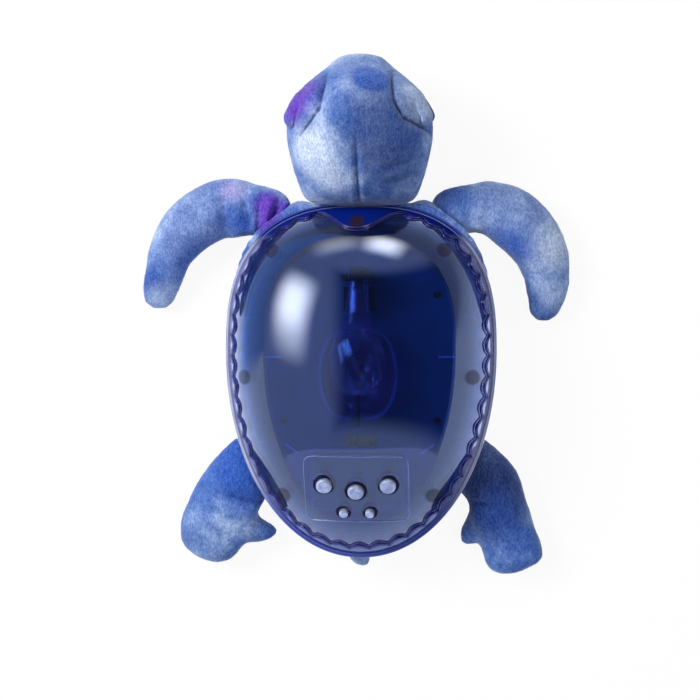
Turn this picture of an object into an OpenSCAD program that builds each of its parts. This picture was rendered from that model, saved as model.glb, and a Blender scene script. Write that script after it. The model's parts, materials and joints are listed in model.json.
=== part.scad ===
// Turtle night light projector: a plush turtle that carries a clear domed
// shell. Under the dome a lamp shines up through a slowly turning ripple drum.
// Millimetres, +Z up, +Y towards the head, +X to the right seen from above.
// The origin is on the floor, under the middle of the shell.

/* [Shell] */
// Width of the shell across its rim
shell_width = 184; // [172:1:196]
// Length of the shell ahead of its widest line
shell_front = 99; // [92:1:110]
// Length of the shell behind its widest line
shell_rear = 141; // [132:1:155]
// How square the front end of the shell is
front_fullness = 2.6; // [2.3:0.1:2.9]
// How square the rear end of the shell is
rear_fullness = 2.05; // [2:0.05:2.3]
// Height of the dome's seat above the floor
rim_height = 46; // [44:1:54]
// Rise of the dome above its seat
dome_rise = 70; // [64:1:80]
// Wall of the dome
dome_wall = 2.6; // [2:0.1:3.2]
// Thickness of the rim flange
flange = 2.5; // [2:0.1:3.5]
// How far the rim flange stands out beyond the bezel
rim_lip = 2.2; // [1:0.1:3]
// Thickness of the scalloped bezel
bezel = 1.5; // [1:0.1:2.2]
// Wall of the base tray
tray_wall = 2.5; // [2:0.1:3]
// Diameter of the screw bosses
boss_d = 8; // [7:0.5:9]
// Shank of the case screws
screw_d = 2.9; // [2.5:0.1:3.2]
// Clearance between hard pieces that are fitted together
fit_gap = 0.15; // [0.1:0.05:0.25]

/* [Buttons] */
// How far behind the middle of the shell the button panel lies
panel_back = 76; // [70:1:80]
// Diameter of the three big buttons
big_button = 10.6; // [9:0.1:12]
// Diameter of the two small buttons
small_button = 6; // [5:0.1:7]
// Sideways place of the outer big buttons
big_spread = 20.7; // [19:0.1:23]
// Sideways place of the small buttons
small_spread = 8.6; // [7.5:0.1:10]
// How far a button stands out of the dome
button_proud = 3; // [2:0.1:4]
// Travel of a button
button_travel = 0.7; // [0.4:0.1:0.9]
// Gap around a button in its hole
button_gap = 0.9; // [0.6:0.1:1.2]
// Depth of the key board below the dome's skin
board_depth = 19; // [18.5:0.5:21]

/* [Projector] */
// Diameter of the ripple drum
drum_d = 38; // [32:1:40]
// Length of the drum's body
drum_length = 52; // [46:1:54]
// Length of the drum's neck
neck_length = 28; // [26:1:32]
// Wall of the drum
drum_wall = 2; // [1.5:0.1:2.5]
// Place of the drum's rear end, behind the middle of the shell
drum_back = 14; // [12:1:16]
// Tooth module of the drive gears
tooth_module = 0.8; // [0.75:0.05:0.85]
// Teeth on the drum's gear
gear_teeth = 28; // [26:2:30]
// Teeth on the motor's pinion
pinion_teeth = 14; // [13:1:16]
// Width of the gears
gear_width = 4; // [3:0.5:5]
// Diameter of the motor
motor_d = 15; // [13:0.5:16]
// Length of the motor
motor_length = 18; // [16:1:20]

/* [Power and sound] */
// Diameter of a battery cell
cell_d = 14.2; // [13.8:0.1:14.5]
// Length of a battery cell
cell_length = 50.2; // [49:0.1:50.5]
// Diameter of the speaker
speaker_d = 50; // [44:1:54]
// Thickness of the printed boards
board = 1.6; // [1.2:0.1:2]

/* [Plush] */
// Padding between the base tray and the outside of the plush
plush_wall = 8; // [6.5:0.5:10]
// Padding under the base tray
belly_pad = 8.6; // [7:0.1:10]
// Clearance between the plush and the pieces it holds
soft_gap = 0.4; // [0.3:0.1:0.8]
// Height of the head's middle above the floor
head_lift = 54; // [52:1:60]
// Half the height of the head
head_half_height = 45; // [38:1:48]
// Half the width of the head
head_half_width = 50; // [44:1:54]
// Thickness of the flippers' roots
root_thickness = 24; // [20:1:26]

/* [Hidden] */
$fn = 48;

// Shell outline: an egg whose ends are superellipses

half_width = shell_width / 2;
widest_y = (shell_rear - shell_front) / 2;
turn_step = 5;
outline_step = 3;

function signed_power(v, e) = sign(v) * pow(abs(v), e);

function egg_point(t, inset, front_more = 0, front_power = front_fullness) =
  let (
    ahead = sin(t) >= 0,
    e = 2 / (ahead ? front_power : rear_fullness),
    reach = ahead ? shell_front + front_more : shell_rear
  )
  [(half_width - inset) * signed_power(cos(t), e),
    widest_y + (reach - inset) * signed_power(sin(t), e)];

function egg_half(y, inset) =
  let (
    ahead = y >= widest_y,
    power = ahead ? front_fullness : rear_fullness,
    reach = (ahead ? shell_front : shell_rear) - inset,
    share = min(1, abs(y - widest_y) / reach)
  )
  (half_width - inset) * pow(1 - pow(share, power), 1 / power);

module egg_outline(inset) {
  polygon([for (t = [0 : outline_step : 360 - outline_step]) egg_point(t, inset)]);
}

module egg_turn(inset, sink, front_more = 0, front_power = front_fullness) {
  side = [
    for (t = [-90 : turn_step : 90])
      let (p = egg_point(t, inset, front_more, front_power)) [sqrt(p.x * p.x + sink * sink), p.y]
  ];
  ends = sink > 0 ? [[0, side[len(side) - 1].y], [0, side[0].y]] : [];
  rotate([-90, 0, 0])
    rotate_extrude($fn = 120)
      polygon(concat(side, ends));
}

reach_all = 400;

module slab(low, high) {
  translate([-reach_all / 2, -reach_all / 2, low])
    cube([reach_all, reach_all, high - low]);
}

function rounded_box(w, l, r) = [
  for (q = [0 : 3], a = [0 : 15 : 90])
    let (s = [[1, 1], [-1, 1], [-1, -1], [1, -1]][q])
      [s.x * (w / 2 - r), s.y * (l / 2 - r)] + r * [cos(90 * q + a), sin(90 * q + a)]
];

// Dome: part of a body of revolution whose axis lies below the rim

dome_inset = rim_lip + bezel + fit_gap;
dome_half = half_width - dome_inset;
dome_sink = (dome_half * dome_half - dome_rise * dome_rise) / (2 * dome_rise);
dome_axis_z = rim_height - dome_sink;
boss_inset = 15.5;
boss_angles = [90, 47, 133, -8, 188, -50, 230];
pilot_gap = 0.05;

module dome_solid(grow) {
  translate([0, 0, dome_axis_z])
    egg_turn(dome_inset - grow, dome_sink);
}

module at_bosses() {
  for (t = boss_angles) {
    p = egg_point(t, boss_inset);
    translate([p.x, p.y, 0])
      children();
  }
}

function dome_radius(y, grow) =
  sqrt(pow(egg_half(y, dome_inset - grow), 2) + dome_sink * dome_sink);

// Button panel: its own frame lies on the dome's skin, square to it

panel_y = -panel_back;
panel_z = dome_axis_z + dome_radius(panel_y, 0);
panel_tilt = atan((dome_radius(panel_y + 1, 0) - dome_radius(panel_y - 1, 0)) / 2);
big_row = 8.6;
middle_row = 5.7;
small_row = -11.8;
buttons = [
  [-big_spread, big_row, big_button],
  [0, middle_row, big_button],
  [big_spread, big_row, big_button],
  [-small_spread, small_row, small_button],
  [small_spread, small_row, small_button]
];
lip_more = 1.6;
lip_thick = 1.3;
lip_gap = 0.4;
stem_d = 4;
switch_body = 3.5;
switch_top = 5;
switch_side = 6;
press_room = 0.1;

module at_panel() {
  translate([0, panel_y, panel_z])
    rotate([panel_tilt, 0, 0])
      children();
}

function panel_point(u, v, s) = [
  u,
  panel_y + v * cos(panel_tilt) - s * sin(panel_tilt),
  panel_z + v * sin(panel_tilt) + s * cos(panel_tilt)
];

function beyond_skin(u, v, s, grow) =
  let (p = panel_point(u, v, s), r = dome_radius(p.y, grow))
  p.x * p.x + pow(p.z - dome_axis_z, 2) - r * r;

function skin_depth(u, v, grow, low = -30, high = 15, tries = 24) =
  let (m = (low + high) / 2)
  tries == 0 ? m
    : beyond_skin(u, v, m, grow) > 0 ? skin_depth(u, v, grow, low, m, tries - 1)
      : skin_depth(u, v, grow, m, high, tries - 1);

function lip_top(b) =
  let (r = b[2] / 2 + lip_more)
  min([for (a = [0 : 45 : 315]) skin_depth(b[0] + r * cos(a), b[1] + r * sin(a), -dome_wall)])
    - lip_gap;

module dome() {
  color([0.1, 0.14, 0.5, 0.55])
    difference() {
      union() {
        difference() {
          intersection() {
            dome_solid(0);
            slab(rim_height, rim_height + reach_all / 2);
          }
          dome_solid(-dome_wall);
        }
        intersection() {
          dome_solid(-dome_wall / 2);
          at_bosses()
            translate([0, 0, rim_height])
              cylinder(d = boss_d, h = dome_rise);
        }
      }
      at_bosses()
        translate([0, 0, rim_height - 1])
          cylinder(d = screw_d + 2 * pilot_gap, h = screw_reach + 2);
      at_panel()
        for (b = buttons)
          translate([b[0], b[1], -board_depth])
            cylinder(d = b[2] + 2 * button_gap, h = 2 * board_depth);
    }
}

// Scalloped bezel: a skin on the foot of the dome with lobes on its inner edge

lobe_low = 4.2;
lobe_rise = 2.8;
tail_more = 2.6;
lobes_each_side = 21.5;
// Whole degrees of turn that the wave at the nape takes on either side
nape_span = 14;
nape_rise = 15.5;

// Way along the rim from the nose to each whole degree of turn
rim_way = [
  for (k = 0, way = 0; k <= 180; way = way + norm(egg_point(91 + k, 0) - egg_point(90 + k, 0)), k = k + 1) way
];
lobe_pitch = (rim_way[180] - rim_way[nape_span]) / lobes_each_side;

function nape_inset(off) =
  lobe_low + nape_rise * (0.5 + 0.5 * cos(180 * off / nape_span));

function side_inset(off) =
  lobe_low + tail_more * pow(max(0, off / 90 - 1), 2)
    + lobe_rise * abs(sin(180 * (rim_way[off] - rim_way[nape_span]) / lobe_pitch));

function lobe_inset(t) =
  let (off = abs(t - 90))
  off < nape_span ? nape_inset(off) : side_inset(off);

module scallop_bezel() {
  color([0.12, 0.22, 0.72, 0.7])
    difference() {
      intersection() {
        dome_solid(bezel + fit_gap);
        translate([0, 0, rim_height])
          linear_extrude(height = dome_rise)
            difference() {
              egg_outline(-1);
              polygon([for (t = [-90 : 1 : 269]) egg_point(t, lobe_inset(t))]);
            }
      }
      dome_solid(fit_gap);
    }
}

// Base tray: a bowl of revolution under the rim, with the flange on top

hem_inset = 2;
tray_inset = hem_inset + plush_wall;
tray_floor = belly_pad + soft_gap;
bowl_axis_z = rim_height - 6;
flange_z = rim_height - flange;
head_d = 5.4;
head_h = 2;
head_seat = 8;
screw_reach = 9;
bay_y = -46;
chassis = 2;
chassis_rise = 2;
chassis_z = rim_height + chassis_rise;
chassis_top = chassis_z + chassis;
pillar_x = 52;
pillar_front = 58;
pillar_rear = -27;
small_screw = 2.4;

module bowl(inset, low, high, front_more = 0, front_power = front_fullness) {
  intersection() {
    translate([0, 0, bowl_axis_z])
      egg_turn(inset, 0, front_more, front_power);
    slab(low, high);
  }
}

module at_pillars() {
  for (x = [-pillar_x, pillar_x], y = [pillar_rear, pillar_front])
    translate([x, y, 0])
      children();
}

// Battery bay: three cells side by side, opened from below

cell_pitch = cell_d + 1;
spring_room = 6;
bay_width = 3 * cell_pitch + 1;
bay_length = cell_length + spring_room;
bay_ledge = 5;
bay_wall = 1.6;
door_thick = 2;
door_width = bay_width + 2 * bay_ledge;
door_length = bay_length + 2 * bay_ledge + 2;
door_gap = 0.4;
door_seat = tray_floor + door_thick + fit_gap;
bay_top = door_seat + cell_d + 1.2;
door_screw_d = 2.5;
door_screw_room = 0.25;
door_screw_sink = 1;
door_head_d = 4.2;
door_head_h = 0.9;
door_head_edge = 1.4;
door_screw_y = bay_y - door_length / 2 + door_head_d / 2 + door_head_edge;
door_screw_length = door_thick + 2;
hook_y = bay_y + door_length / 2;

// Speaker and main board seats

speaker_y = 62;
speaker_seat = tray_floor + tray_wall + 2;
grille_pitch = 7;
main_board_z = bay_top + bay_wall + 4;
main_board_w = 88;
main_board_l = 52;
post_d = 6;

module at_board_posts() {
  for (x = [-1, 1], y = [-1, 1])
    translate([x * (main_board_w / 2 - 4), bay_y + y * (main_board_l / 2 - 4), 0])
      children();
}

module grille() {
  for (i = [-2 : 2], j = [-2 : 2])
    if (abs(i + j) < 3)
      translate([grille_pitch * (i + j / 2), speaker_y + grille_pitch * j * sin(60), 0])
        children();
}

rib_length = 8;
rib_thick = 1.4;
rib_rise = 4;
rib_inset = 9.5;
rib_rows = [43, -42];

module base_tray() {
  color([0.2, 0.25, 0.6, 0.8])
    difference() {
      union() {
        difference() {
          bowl(tray_inset, tray_floor, rim_height - flange / 2);
          bowl(tray_inset + tray_wall, tray_floor + tray_wall, rim_height);
        }
        translate([0, 0, flange_z])
          linear_extrude(height = flange)
            difference() {
              egg_outline(0);
              egg_outline(tray_inset + tray_wall);
            }
        intersection() {
          bowl(tray_inset, tray_floor, rim_height);
          union() {
            at_bosses()
              cylinder(d = boss_d + 1, h = rim_height);
            at_pillars()
              cylinder(d = boss_d, h = rim_height);
          }
        }
        at_pillars()
          translate([0, 0, tray_floor + 1])
            cylinder(d = boss_d, h = chassis_z - tray_floor - 1);
        at_board_posts()
          translate([0, 0, tray_floor + 1])
            cylinder(d = post_d, h = main_board_z - tray_floor - 1);
        translate([-door_width / 2 - 2, bay_y - door_length / 2 - 2, tray_floor])
          cube([door_width + 4, door_length + 4, door_thick + 3]);
        translate([-bay_width / 2 - bay_wall, bay_y - bay_length / 2 - bay_wall, tray_floor])
          cube([bay_width + 2 * bay_wall, bay_length + 2 * bay_wall, bay_top + bay_wall - tray_floor]);
        translate([0, speaker_y, tray_floor + 1])
          cylinder(d = speaker_d, h = speaker_seat - tray_floor - 1);
        for (y = rib_rows, s = [-1, 1])
          translate([s * (egg_half(y, rib_inset) - rib_length / 2), y, rim_height + rib_rise / 2 - 0.5])
            cube([rib_length, rib_thick, rib_rise + 1], center = true);
      }
      at_bosses() {
        translate([0, 0, tray_floor - 1])
          cylinder(d = head_d + 0.6, h = rim_height - head_seat - tray_floor + 1);
        translate([0, 0, tray_floor])
          cylinder(d = screw_d + 2 * pilot_gap, h = rim_height);
      }
      at_pillars()
        translate([0, 0, chassis_z - 9])
          cylinder(d = small_screw + 2 * pilot_gap, h = 20);
      translate([-bay_width / 2, bay_y - bay_length / 2, tray_floor - 1])
        cube([bay_width, bay_length, bay_top - tray_floor + 1]);
      translate([-door_width / 2, bay_y - door_length / 2, tray_floor - 1])
        cube([door_width, door_length, door_seat - tray_floor + 1]);
      for (s = [-1, 1])
        translate([s * door_width / 4 - hook_width / 2 - door_gap, pocket_y, door_seat - hook_drop])
          cube([hook_width + 2 * door_gap, hook_y + hook_reach + hook_swing - pocket_y, hook_room]);
      translate([0, door_screw_y, tray_floor])
        cylinder(d = door_screw_d + 2 * door_screw_room, h = door_screw_length + 1);
      translate([0, speaker_y, tray_floor + tray_wall])
        cylinder(d = speaker_d - 6, h = 10);
      grille()
        translate([0, 0, tray_floor - 1])
          cylinder(d = 3, h = tray_wall + 2);
    }
}

module case_screws() {
  color([0.35, 0.28, 0.2])
    at_bosses()
      translate([0, 0, rim_height - head_seat - head_h]) {
        cylinder(d = head_d, h = head_h);
        cylinder(d = screw_d, h = head_h + head_seat + screw_reach);
      }
}

// Chassis plate on four pillars

chassis_inset = 27;
tick_length = 11;

module chassis_plate() {
  color([0.05, 0.08, 0.25])
    difference() {
      union() {
        translate([0, 0, chassis_z])
          linear_extrude(height = chassis)
            egg_outline(chassis_inset);
        for (s = [-1, 1]) {
          translate([s * (half_width - chassis_inset - tick_length / 2 - 1), 16, chassis_top + 1.5])
            cube([tick_length, rib_thick, 4], center = true);
          translate([s * 46, -46, chassis_top + 1.5])
            rotate([0, 0, s * 35])
              cube([tick_length, rib_thick, 4], center = true);
        }
      }
      at_pillars()
        translate([0, 0, chassis_z - 1])
          cylinder(d = small_screw + 0.4, h = chassis + 2);
    }
}

small_bite = 7;
small_head_d = 4.6;
small_head_h = 1.6;

module chassis_screws() {
  color([0.45, 0.45, 0.48])
    at_pillars() {
      translate([0, 0, chassis_z - small_bite])
        cylinder(d = small_screw, h = small_bite + chassis + small_head_h / 2);
      translate([0, 0, chassis_top])
        cylinder(d = small_head_d, h = small_head_h);
    }
}

// Ripple drum: a clear bottle that turns about a lengthwise axis

cradle_gap = 5.5;
cradle_wall = 2;
cradle_r = drum_d / 2 + cradle_gap + cradle_wall;
drum_z = chassis_top + cradle_r;
drum_rear = -drum_back;
drum_front = drum_rear + drum_length;
neck_front = drum_front + neck_length;
neck_base_r = 9.5;
neck_tip_r = 6;
pin_d = 3;
pin_gap = 0.04;
hub_r = 5;
hub_depth = 8;
plug_depth = 5;

module along_drum(y) {
  translate([0, y, drum_z])
    rotate([-90, 0, 0])
      children();
}

function drum_side(inset) = concat(
  [for (a = [-90 : 10 : 50])
    [(drum_d / 2 - inset) * pow(cos(a), 0.75), (drum_length / 2 - inset) * (1 + sin(a)) + inset]],
  [[neck_base_r - inset, drum_length + 1]]
);

module wave_drum() {
  color([0.6, 0.7, 0.95, 0.6])
    along_drum(drum_rear)
      difference() {
        rotate_extrude()
          polygon(concat(drum_side(0),
            [[neck_tip_r, drum_length + neck_length], [0, drum_length + neck_length]]));
        rotate_extrude()
          difference() {
            polygon(concat(drum_side(drum_wall),
              [[neck_tip_r - drum_wall, drum_length + neck_length + 1],
                [0, drum_length + neck_length + 1]]));
            square([hub_r, hub_depth]);
          }
        translate([0, 0, -1])
          cylinder(d = pin_d + 2 * pin_gap, h = hub_depth - 1);
      }
}

cradle_rear = drum_rear - 12;
cradle_front = drum_front - 3;
cradle_middle = (cradle_front + cradle_rear) / 2;
cradle_half = (cradle_front - cradle_rear) / 2;
ear_thick = 4;
ear_y = cradle_rear - ear_thick / 2;
ear_width = 10;
ear_top = drum_z + 5;

module drum_pin() {
  color([0.8, 0.8, 0.82])
    along_drum(ear_y - ear_thick / 2)
      cylinder(d = pin_d, h = drum_rear + hub_depth - 3 - ear_y + ear_thick / 2);
}

function cradle_side(inset) = [
  for (a = [-90 : 10 : 90])
    [(cradle_r - inset) * pow(cos(a), 0.7), (cradle_half - inset) * sin(a)]
];

foot_x = 13;
foot_wide = 4;
foot_long = 30;

module lamp_cradle() {
  color([0.55, 0.65, 0.95, 0.6])
    difference() {
      union() {
        intersection() {
          along_drum(cradle_middle)
            rotate_extrude()
              polygon(cradle_side(0));
          slab(chassis_top, drum_z - 3);
        }
        translate([-ear_width / 2, ear_y - ear_thick / 2, chassis_top])
          cube([ear_width, ear_thick, ear_top - chassis_top]);
        for (s = [-1, 1])
          translate([s * foot_x - foot_wide / 2, cradle_middle - foot_long / 2, chassis_top])
            cube([foot_wide, foot_long, 8]);
      }
      along_drum(cradle_middle)
        rotate_extrude()
          polygon(cradle_side(cradle_wall));
      along_drum(drum_rear - 1)
        cylinder(r = drum_d / 2 + 1.5, h = drum_length + 3);
      translate([-led_width / 2 - fit_gap, cradle_middle - led_length / 2 - fit_gap, chassis_top - 1])
        cube([led_width + 2 * fit_gap, led_length + 2 * fit_gap, 6]);
      along_drum(ear_y - ear_thick)
        cylinder(d = pin_d + 2 * pin_gap, h = 2 * ear_thick);
    }
}

led_width = 18;
led_length = 26;
led_side = 5;
led_base = 1.2;
led_dome = 2.2;

module led_board() {
  color([0.85, 0.86, 0.88])
    translate([-led_width / 2, cradle_middle - led_length / 2, chassis_top])
      cube([led_width, led_length, board]);
}

module led_emitters() {
  color([0.9, 0.85, 0.5])
    for (y = [-8, 0, 8])
      translate([0, cradle_middle + y, chassis_top + board]) {
        translate([-led_side / 2, -led_side / 2, 0])
          cube([led_side, led_side, led_base]);
        translate([0, 0, led_base])
          intersection() {
            sphere(r = led_dome);
            slab(0, led_dome + 1);
          }
      }
}

// Drive: spur gears at the head end of the drum's neck

gear_y = neck_front + 0.5;
gear_pitch_r = tooth_module * gear_teeth / 2;
pinion_pitch_r = tooth_module * pinion_teeth / 2;
centre_distance = gear_pitch_r + pinion_pitch_r + 0.1;
motor_z = drum_z - centre_distance;
pressure = 20;
backlash = 0.12;
addendum = 0.85;
dedendum = 1.25;
post_y = gear_y + gear_width + 1;
post_thick = 4;
tip_pin_d = 4;

function involute(r, base) = let (a = acos(min(1, base / r))) tan(a) * 180 / PI - a;

function gear_points(teeth) =
  let (
    pitch = tooth_module * teeth / 2,
    base = pitch * cos(pressure),
    tip = pitch + addendum * tooth_module,
    root = pitch - dedendum * tooth_module,
    half = 90 / teeth - backlash / pitch * 180 / PI + involute(pitch, base),
    low = max(base, root),
    flank = [for (k = [0 : 4]) low + (tip - low) * k / 4]
  )
  [for (i = [0 : teeth - 1])
    let (mid = 360 * i / teeth)
      each concat(
        [root * [cos(mid - half), sin(mid - half)]],
        [for (r = flank) r * [cos(mid - half + involute(r, base)), sin(mid - half + involute(r, base))]],
        [for (k = [4 : -1 : 0]) let (r = flank[k])
          r * [cos(mid + half - involute(r, base)), sin(mid + half - involute(r, base))]],
        [root * [cos(mid + half), sin(mid + half)]]
      )
  ];

module drum_gear() {
  color([0.08, 0.08, 0.1])
    along_drum(gear_y) {
      rotate([0, 0, 90])
        linear_extrude(height = gear_width)
          polygon(gear_points(gear_teeth));
      translate([0, 0, -0.5 - plug_depth])
        cylinder(r = neck_tip_r - drum_wall - 0.6, h = plug_depth + 1);
      translate([0, 0, gear_width - 0.5])
        cylinder(d = tip_pin_d, h = post_thick + 2);
      translate([0, 0, -0.4])
        cylinder(r = neck_tip_r, h = 1);
    }
}

module bearing_post() {
  color([0.12, 0.15, 0.4])
    difference() {
      translate([-ear_width / 2, post_y, chassis_top])
        cube([ear_width, post_thick, drum_z + 6 - chassis_top]);
      along_drum(post_y - 1)
        cylinder(d = tip_pin_d + 2 * pin_gap, h = post_thick + 2);
    }
}

motor_front = neck_front - 2;
motor_boss = 1.4;
shaft_d = 2;

module along_motor(y) {
  translate([0, y, motor_z])
    rotate([-90, 0, 0])
      children();
}

module motor() {
  color([0.7, 0.7, 0.72])
    difference() {
      union() {
        along_motor(motor_front - motor_length)
          cylinder(d = motor_d, h = motor_length);
        along_motor(motor_front - 1)
          cylinder(d = 5, h = motor_boss + 1);
      }
      along_motor(motor_front - 8)
        cylinder(d = shaft_d + 2 * pin_gap, h = 12);
    }
}

module motor_shaft() {
  color([0.8, 0.8, 0.82])
    along_motor(motor_front - 7.5)
      cylinder(d = shaft_d, h = gear_y + gear_width + 0.5 - motor_front + 7.5);
}

module motor_pinion() {
  color([0.85, 0.8, 0.6])
    along_motor(gear_y)
      difference() {
        rotate([0, 0, -90 + 180 / pinion_teeth])
          linear_extrude(height = gear_width)
            polygon(gear_points(pinion_teeth));
        translate([0, 0, -1])
          cylinder(d = shaft_d + 0.02, h = gear_width + 2);
      }
}

saddle_side = 2.8;
saddle_above = 3;

module motor_saddle() {
  color([0.03, 0.03, 0.04])
    difference() {
      translate([-motor_d / 2 - saddle_side, motor_front - motor_length + 1, chassis_top])
        cube([motor_d + 2 * saddle_side, motor_length - 2, motor_z + saddle_above - chassis_top]);
      along_motor(motor_front - motor_length)
        cylinder(d = motor_d + 2 * pin_gap, h = motor_length);
    }
}

driver_y = -41;

module driver_board() {
  color([0.5, 0.33, 0.18])
    translate([0, driver_y, chassis_top]) {
      translate([-10, -4.5, 0])
        cube([20, 9, board]);
      translate([-7, -2.5, board - 0.2])
        cube([5, 5, 2]);
      translate([4, 0, board - 0.2])
        cylinder(d = 4, h = 5);
    }
}

// Main board under the chassis, with its parts

module main_board() {
  color([0.1, 0.35, 0.2])
    translate([-main_board_w / 2, bay_y - main_board_l / 2, main_board_z])
      cube([main_board_w, main_board_l, board]);
}

processor = [13, 13, 1.8];
processor_place = [-20, -6, 0];
amplifier = [8, 6, 1.6];
amplifier_place = [6, 4, 0];
capacitor_d = 6;
capacitor_h = 7;
capacitor_places = [[22, -8, 0], [32, -8, 0]];
socket = [9, 5, 5];
socket_places = [[-34, 14, 0], [-4, 14, 0], [20, 14, 0]];

module board_parts() {
  color([0.1, 0.1, 0.11])
    translate([0, bay_y, main_board_z + board]) {
      translate(processor_place)
        cube(processor);
      translate(amplifier_place)
        cube(amplifier);
      for (p = capacitor_places)
        translate(p)
          cylinder(d = capacitor_d, h = capacitor_h);
      for (p = socket_places)
        translate(p)
          cube(socket);
    }
}

// Speaker, facing the grille in the tray's floor

module at_speaker(z) {
  translate([0, speaker_y, speaker_seat + z])
    children();
}

basket_h = 12;
magnet_d = 28;
magnet_h = 8;
throat_d = 26;

module speaker_basket() {
  color([0.55, 0.55, 0.57])
    at_speaker(0)
      rotate_extrude()
        polygon([
          [speaker_d / 2 - 4, 0], [speaker_d / 2, 0], [speaker_d / 2, 1.6], [speaker_d / 2 - 2, 1.6],
          [throat_d / 2 + 2, basket_h], [6, basket_h], [6, basket_h - 1.5],
          [throat_d / 2, basket_h - 1.5], [speaker_d / 2 - 4, 1.6]
        ]);
}

module speaker_cone() {
  color([0.12, 0.12, 0.13])
    at_speaker(0)
      rotate_extrude()
        polygon([
          [speaker_d / 2 - 4 - fit_gap, 0], [speaker_d / 2 - 4 - fit_gap, 0.8],
          [speaker_d / 2 - 7, 0.8], [8, basket_h - 4], [0, basket_h - 4], [0, basket_h - 5],
          [7, basket_h - 5], [speaker_d / 2 - 8, 0]
        ]);
}

module speaker_magnet() {
  color([0.3, 0.3, 0.32])
    at_speaker(basket_h)
      cylinder(d = magnet_d, h = magnet_h);
}

// Cells, springs, contacts and the door

cell_z = door_seat + 0.5 + cell_d / 2;
cell_rows = [-1, 0, 1];
contact = 0.5;
nub_d = 5;
nub_h = 1.2;

function cell_side(i) = i == 0 ? -1 : 1;

module at_cells() {
  for (i = cell_rows)
    translate([i * cell_pitch, bay_y, cell_z])
      rotate([-90 * cell_side(i), 0, 0])
        children();
}

cell_start = -bay_length / 2 + spring_room - contact - nub_h;

module battery_cells() {
  color([0.75, 0.6, 0.25])
    at_cells()
      translate([0, 0, cell_start]) {
        cylinder(d = cell_d, h = cell_length - nub_h);
        translate([0, 0, cell_length - nub_h - 0.1])
          cylinder(d = nub_d, h = nub_h + 0.1);
      }
}

coil_turns = 3;
coil_wire = 0.8;
coil_steps = 36;
coil_wide = 4.5;
coil_narrow = 2.5;

module coil(height) {
  rise = height - coil_wire;
  ring = [
    for (i = [0 : coil_steps])
      let (
        f = i / coil_steps,
        r = coil_wide + (coil_narrow - coil_wide) * f,
        a = 360 * coil_turns * f
      )
      [for (k = [0 : 5]) let (w = r + coil_wire / 2 * cos(60 * k))
        [w * cos(a), w * sin(a), coil_wire / 2 + rise * f + coil_wire / 2 * sin(60 * k)]]
  ];
  polyhedron(
    points = [for (g = ring) each g],
    faces = concat(
      [[for (k = [0 : 5]) k]],
      [for (i = [0 : coil_steps - 1], k = [0 : 5], h = [0, 1])
        let (a = 6 * i + k, b = 6 * i + (k + 1) % 6)
          h == 0 ? [a, a + 6, b + 6] : [a, b + 6, b]],
      [[for (k = [5 : -1 : 0]) 6 * coil_steps + k]]
    )
  );
}

module battery_springs() {
  color([0.8, 0.8, 0.82])
    at_cells()
      translate([0, 0, -bay_length / 2 + contact])
        coil(cell_start + bay_length / 2 - contact);
}

contact_side = 10;

module battery_contacts() {
  color([0.82, 0.8, 0.75])
    for (i = cell_rows, s = [-1, 1])
      translate([i * cell_pitch, bay_y + s * (bay_length / 2 - contact / 2), cell_z])
        cube([contact_side, contact, contact_side], center = true);
}

hook_width = 8;
hook_root = 4;
hook_reach = 3;
hook_lift = 0.3;
hook_drop = 0.1;
hook_thick = 1.2;
hook_room = 5;
hook_swing = 1.5;
pocket_y = bay_y + bay_length / 2 - 1;

module battery_door() {
  color([0.2, 0.25, 0.6])
    difference() {
      union() {
        translate([-door_width / 2 + door_gap, bay_y - door_length / 2 + door_gap, tray_floor])
          cube([door_width - 2 * door_gap, door_length - 2 * door_gap, door_thick]);
        for (s = [-1, 1])
          translate([s * door_width / 4 - hook_width / 2, hook_y - hook_root, door_seat + hook_lift]) {
            cube([hook_width, hook_root + hook_reach, hook_thick]);
            translate([0, 0, -hook_lift - fit_gap - door_thick / 4])
              cube([hook_width, hook_root - 1, hook_lift + fit_gap + door_thick / 4 + hook_thick / 2]);
          }
      }
      translate([0, door_screw_y, tray_floor - 1])
        cylinder(d = door_screw_d + 2 * fit_gap, h = door_thick + 2);
      translate([0, door_screw_y, tray_floor - 1])
        cylinder(d = door_head_d + 2 * fit_gap, h = 1 + door_screw_sink);
    }
}

module door_screw() {
  color([0.5, 0.5, 0.52])
    translate([0, door_screw_y, tray_floor + door_screw_sink - door_head_h]) {
      cylinder(d = door_head_d, h = door_head_h);
      cylinder(d = door_screw_d, h = door_screw_length);
    }
}

// Key board, its bracket and the five buttons

key_board_w = 60;
key_board_l = 44;
bracket_margin = 3;
bracket_w = key_board_w + 2 * bracket_margin;
bracket_l = key_board_l + 2 * bracket_margin;
bracket_thick = 2;
board_s = -board_depth;
bracket_s = board_s - board - bracket_thick;
leg_d = 5;
legs = [[-24, 17], [24, 17], [-18, -10], [18, -10]];
key_screw_d = 2;
key_head_d = 4;
key_screw_edge = 3;
key_screw_end = 4;
key_screw_u = key_board_w / 2 - key_screw_edge;
key_screw_v = key_board_l / 2 - key_screw_end;

module at_key_screws() {
  for (u = [-key_screw_u, key_screw_u], v = [-key_screw_v, key_screw_v])
    translate([u, v, 0])
      children();
}

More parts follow.
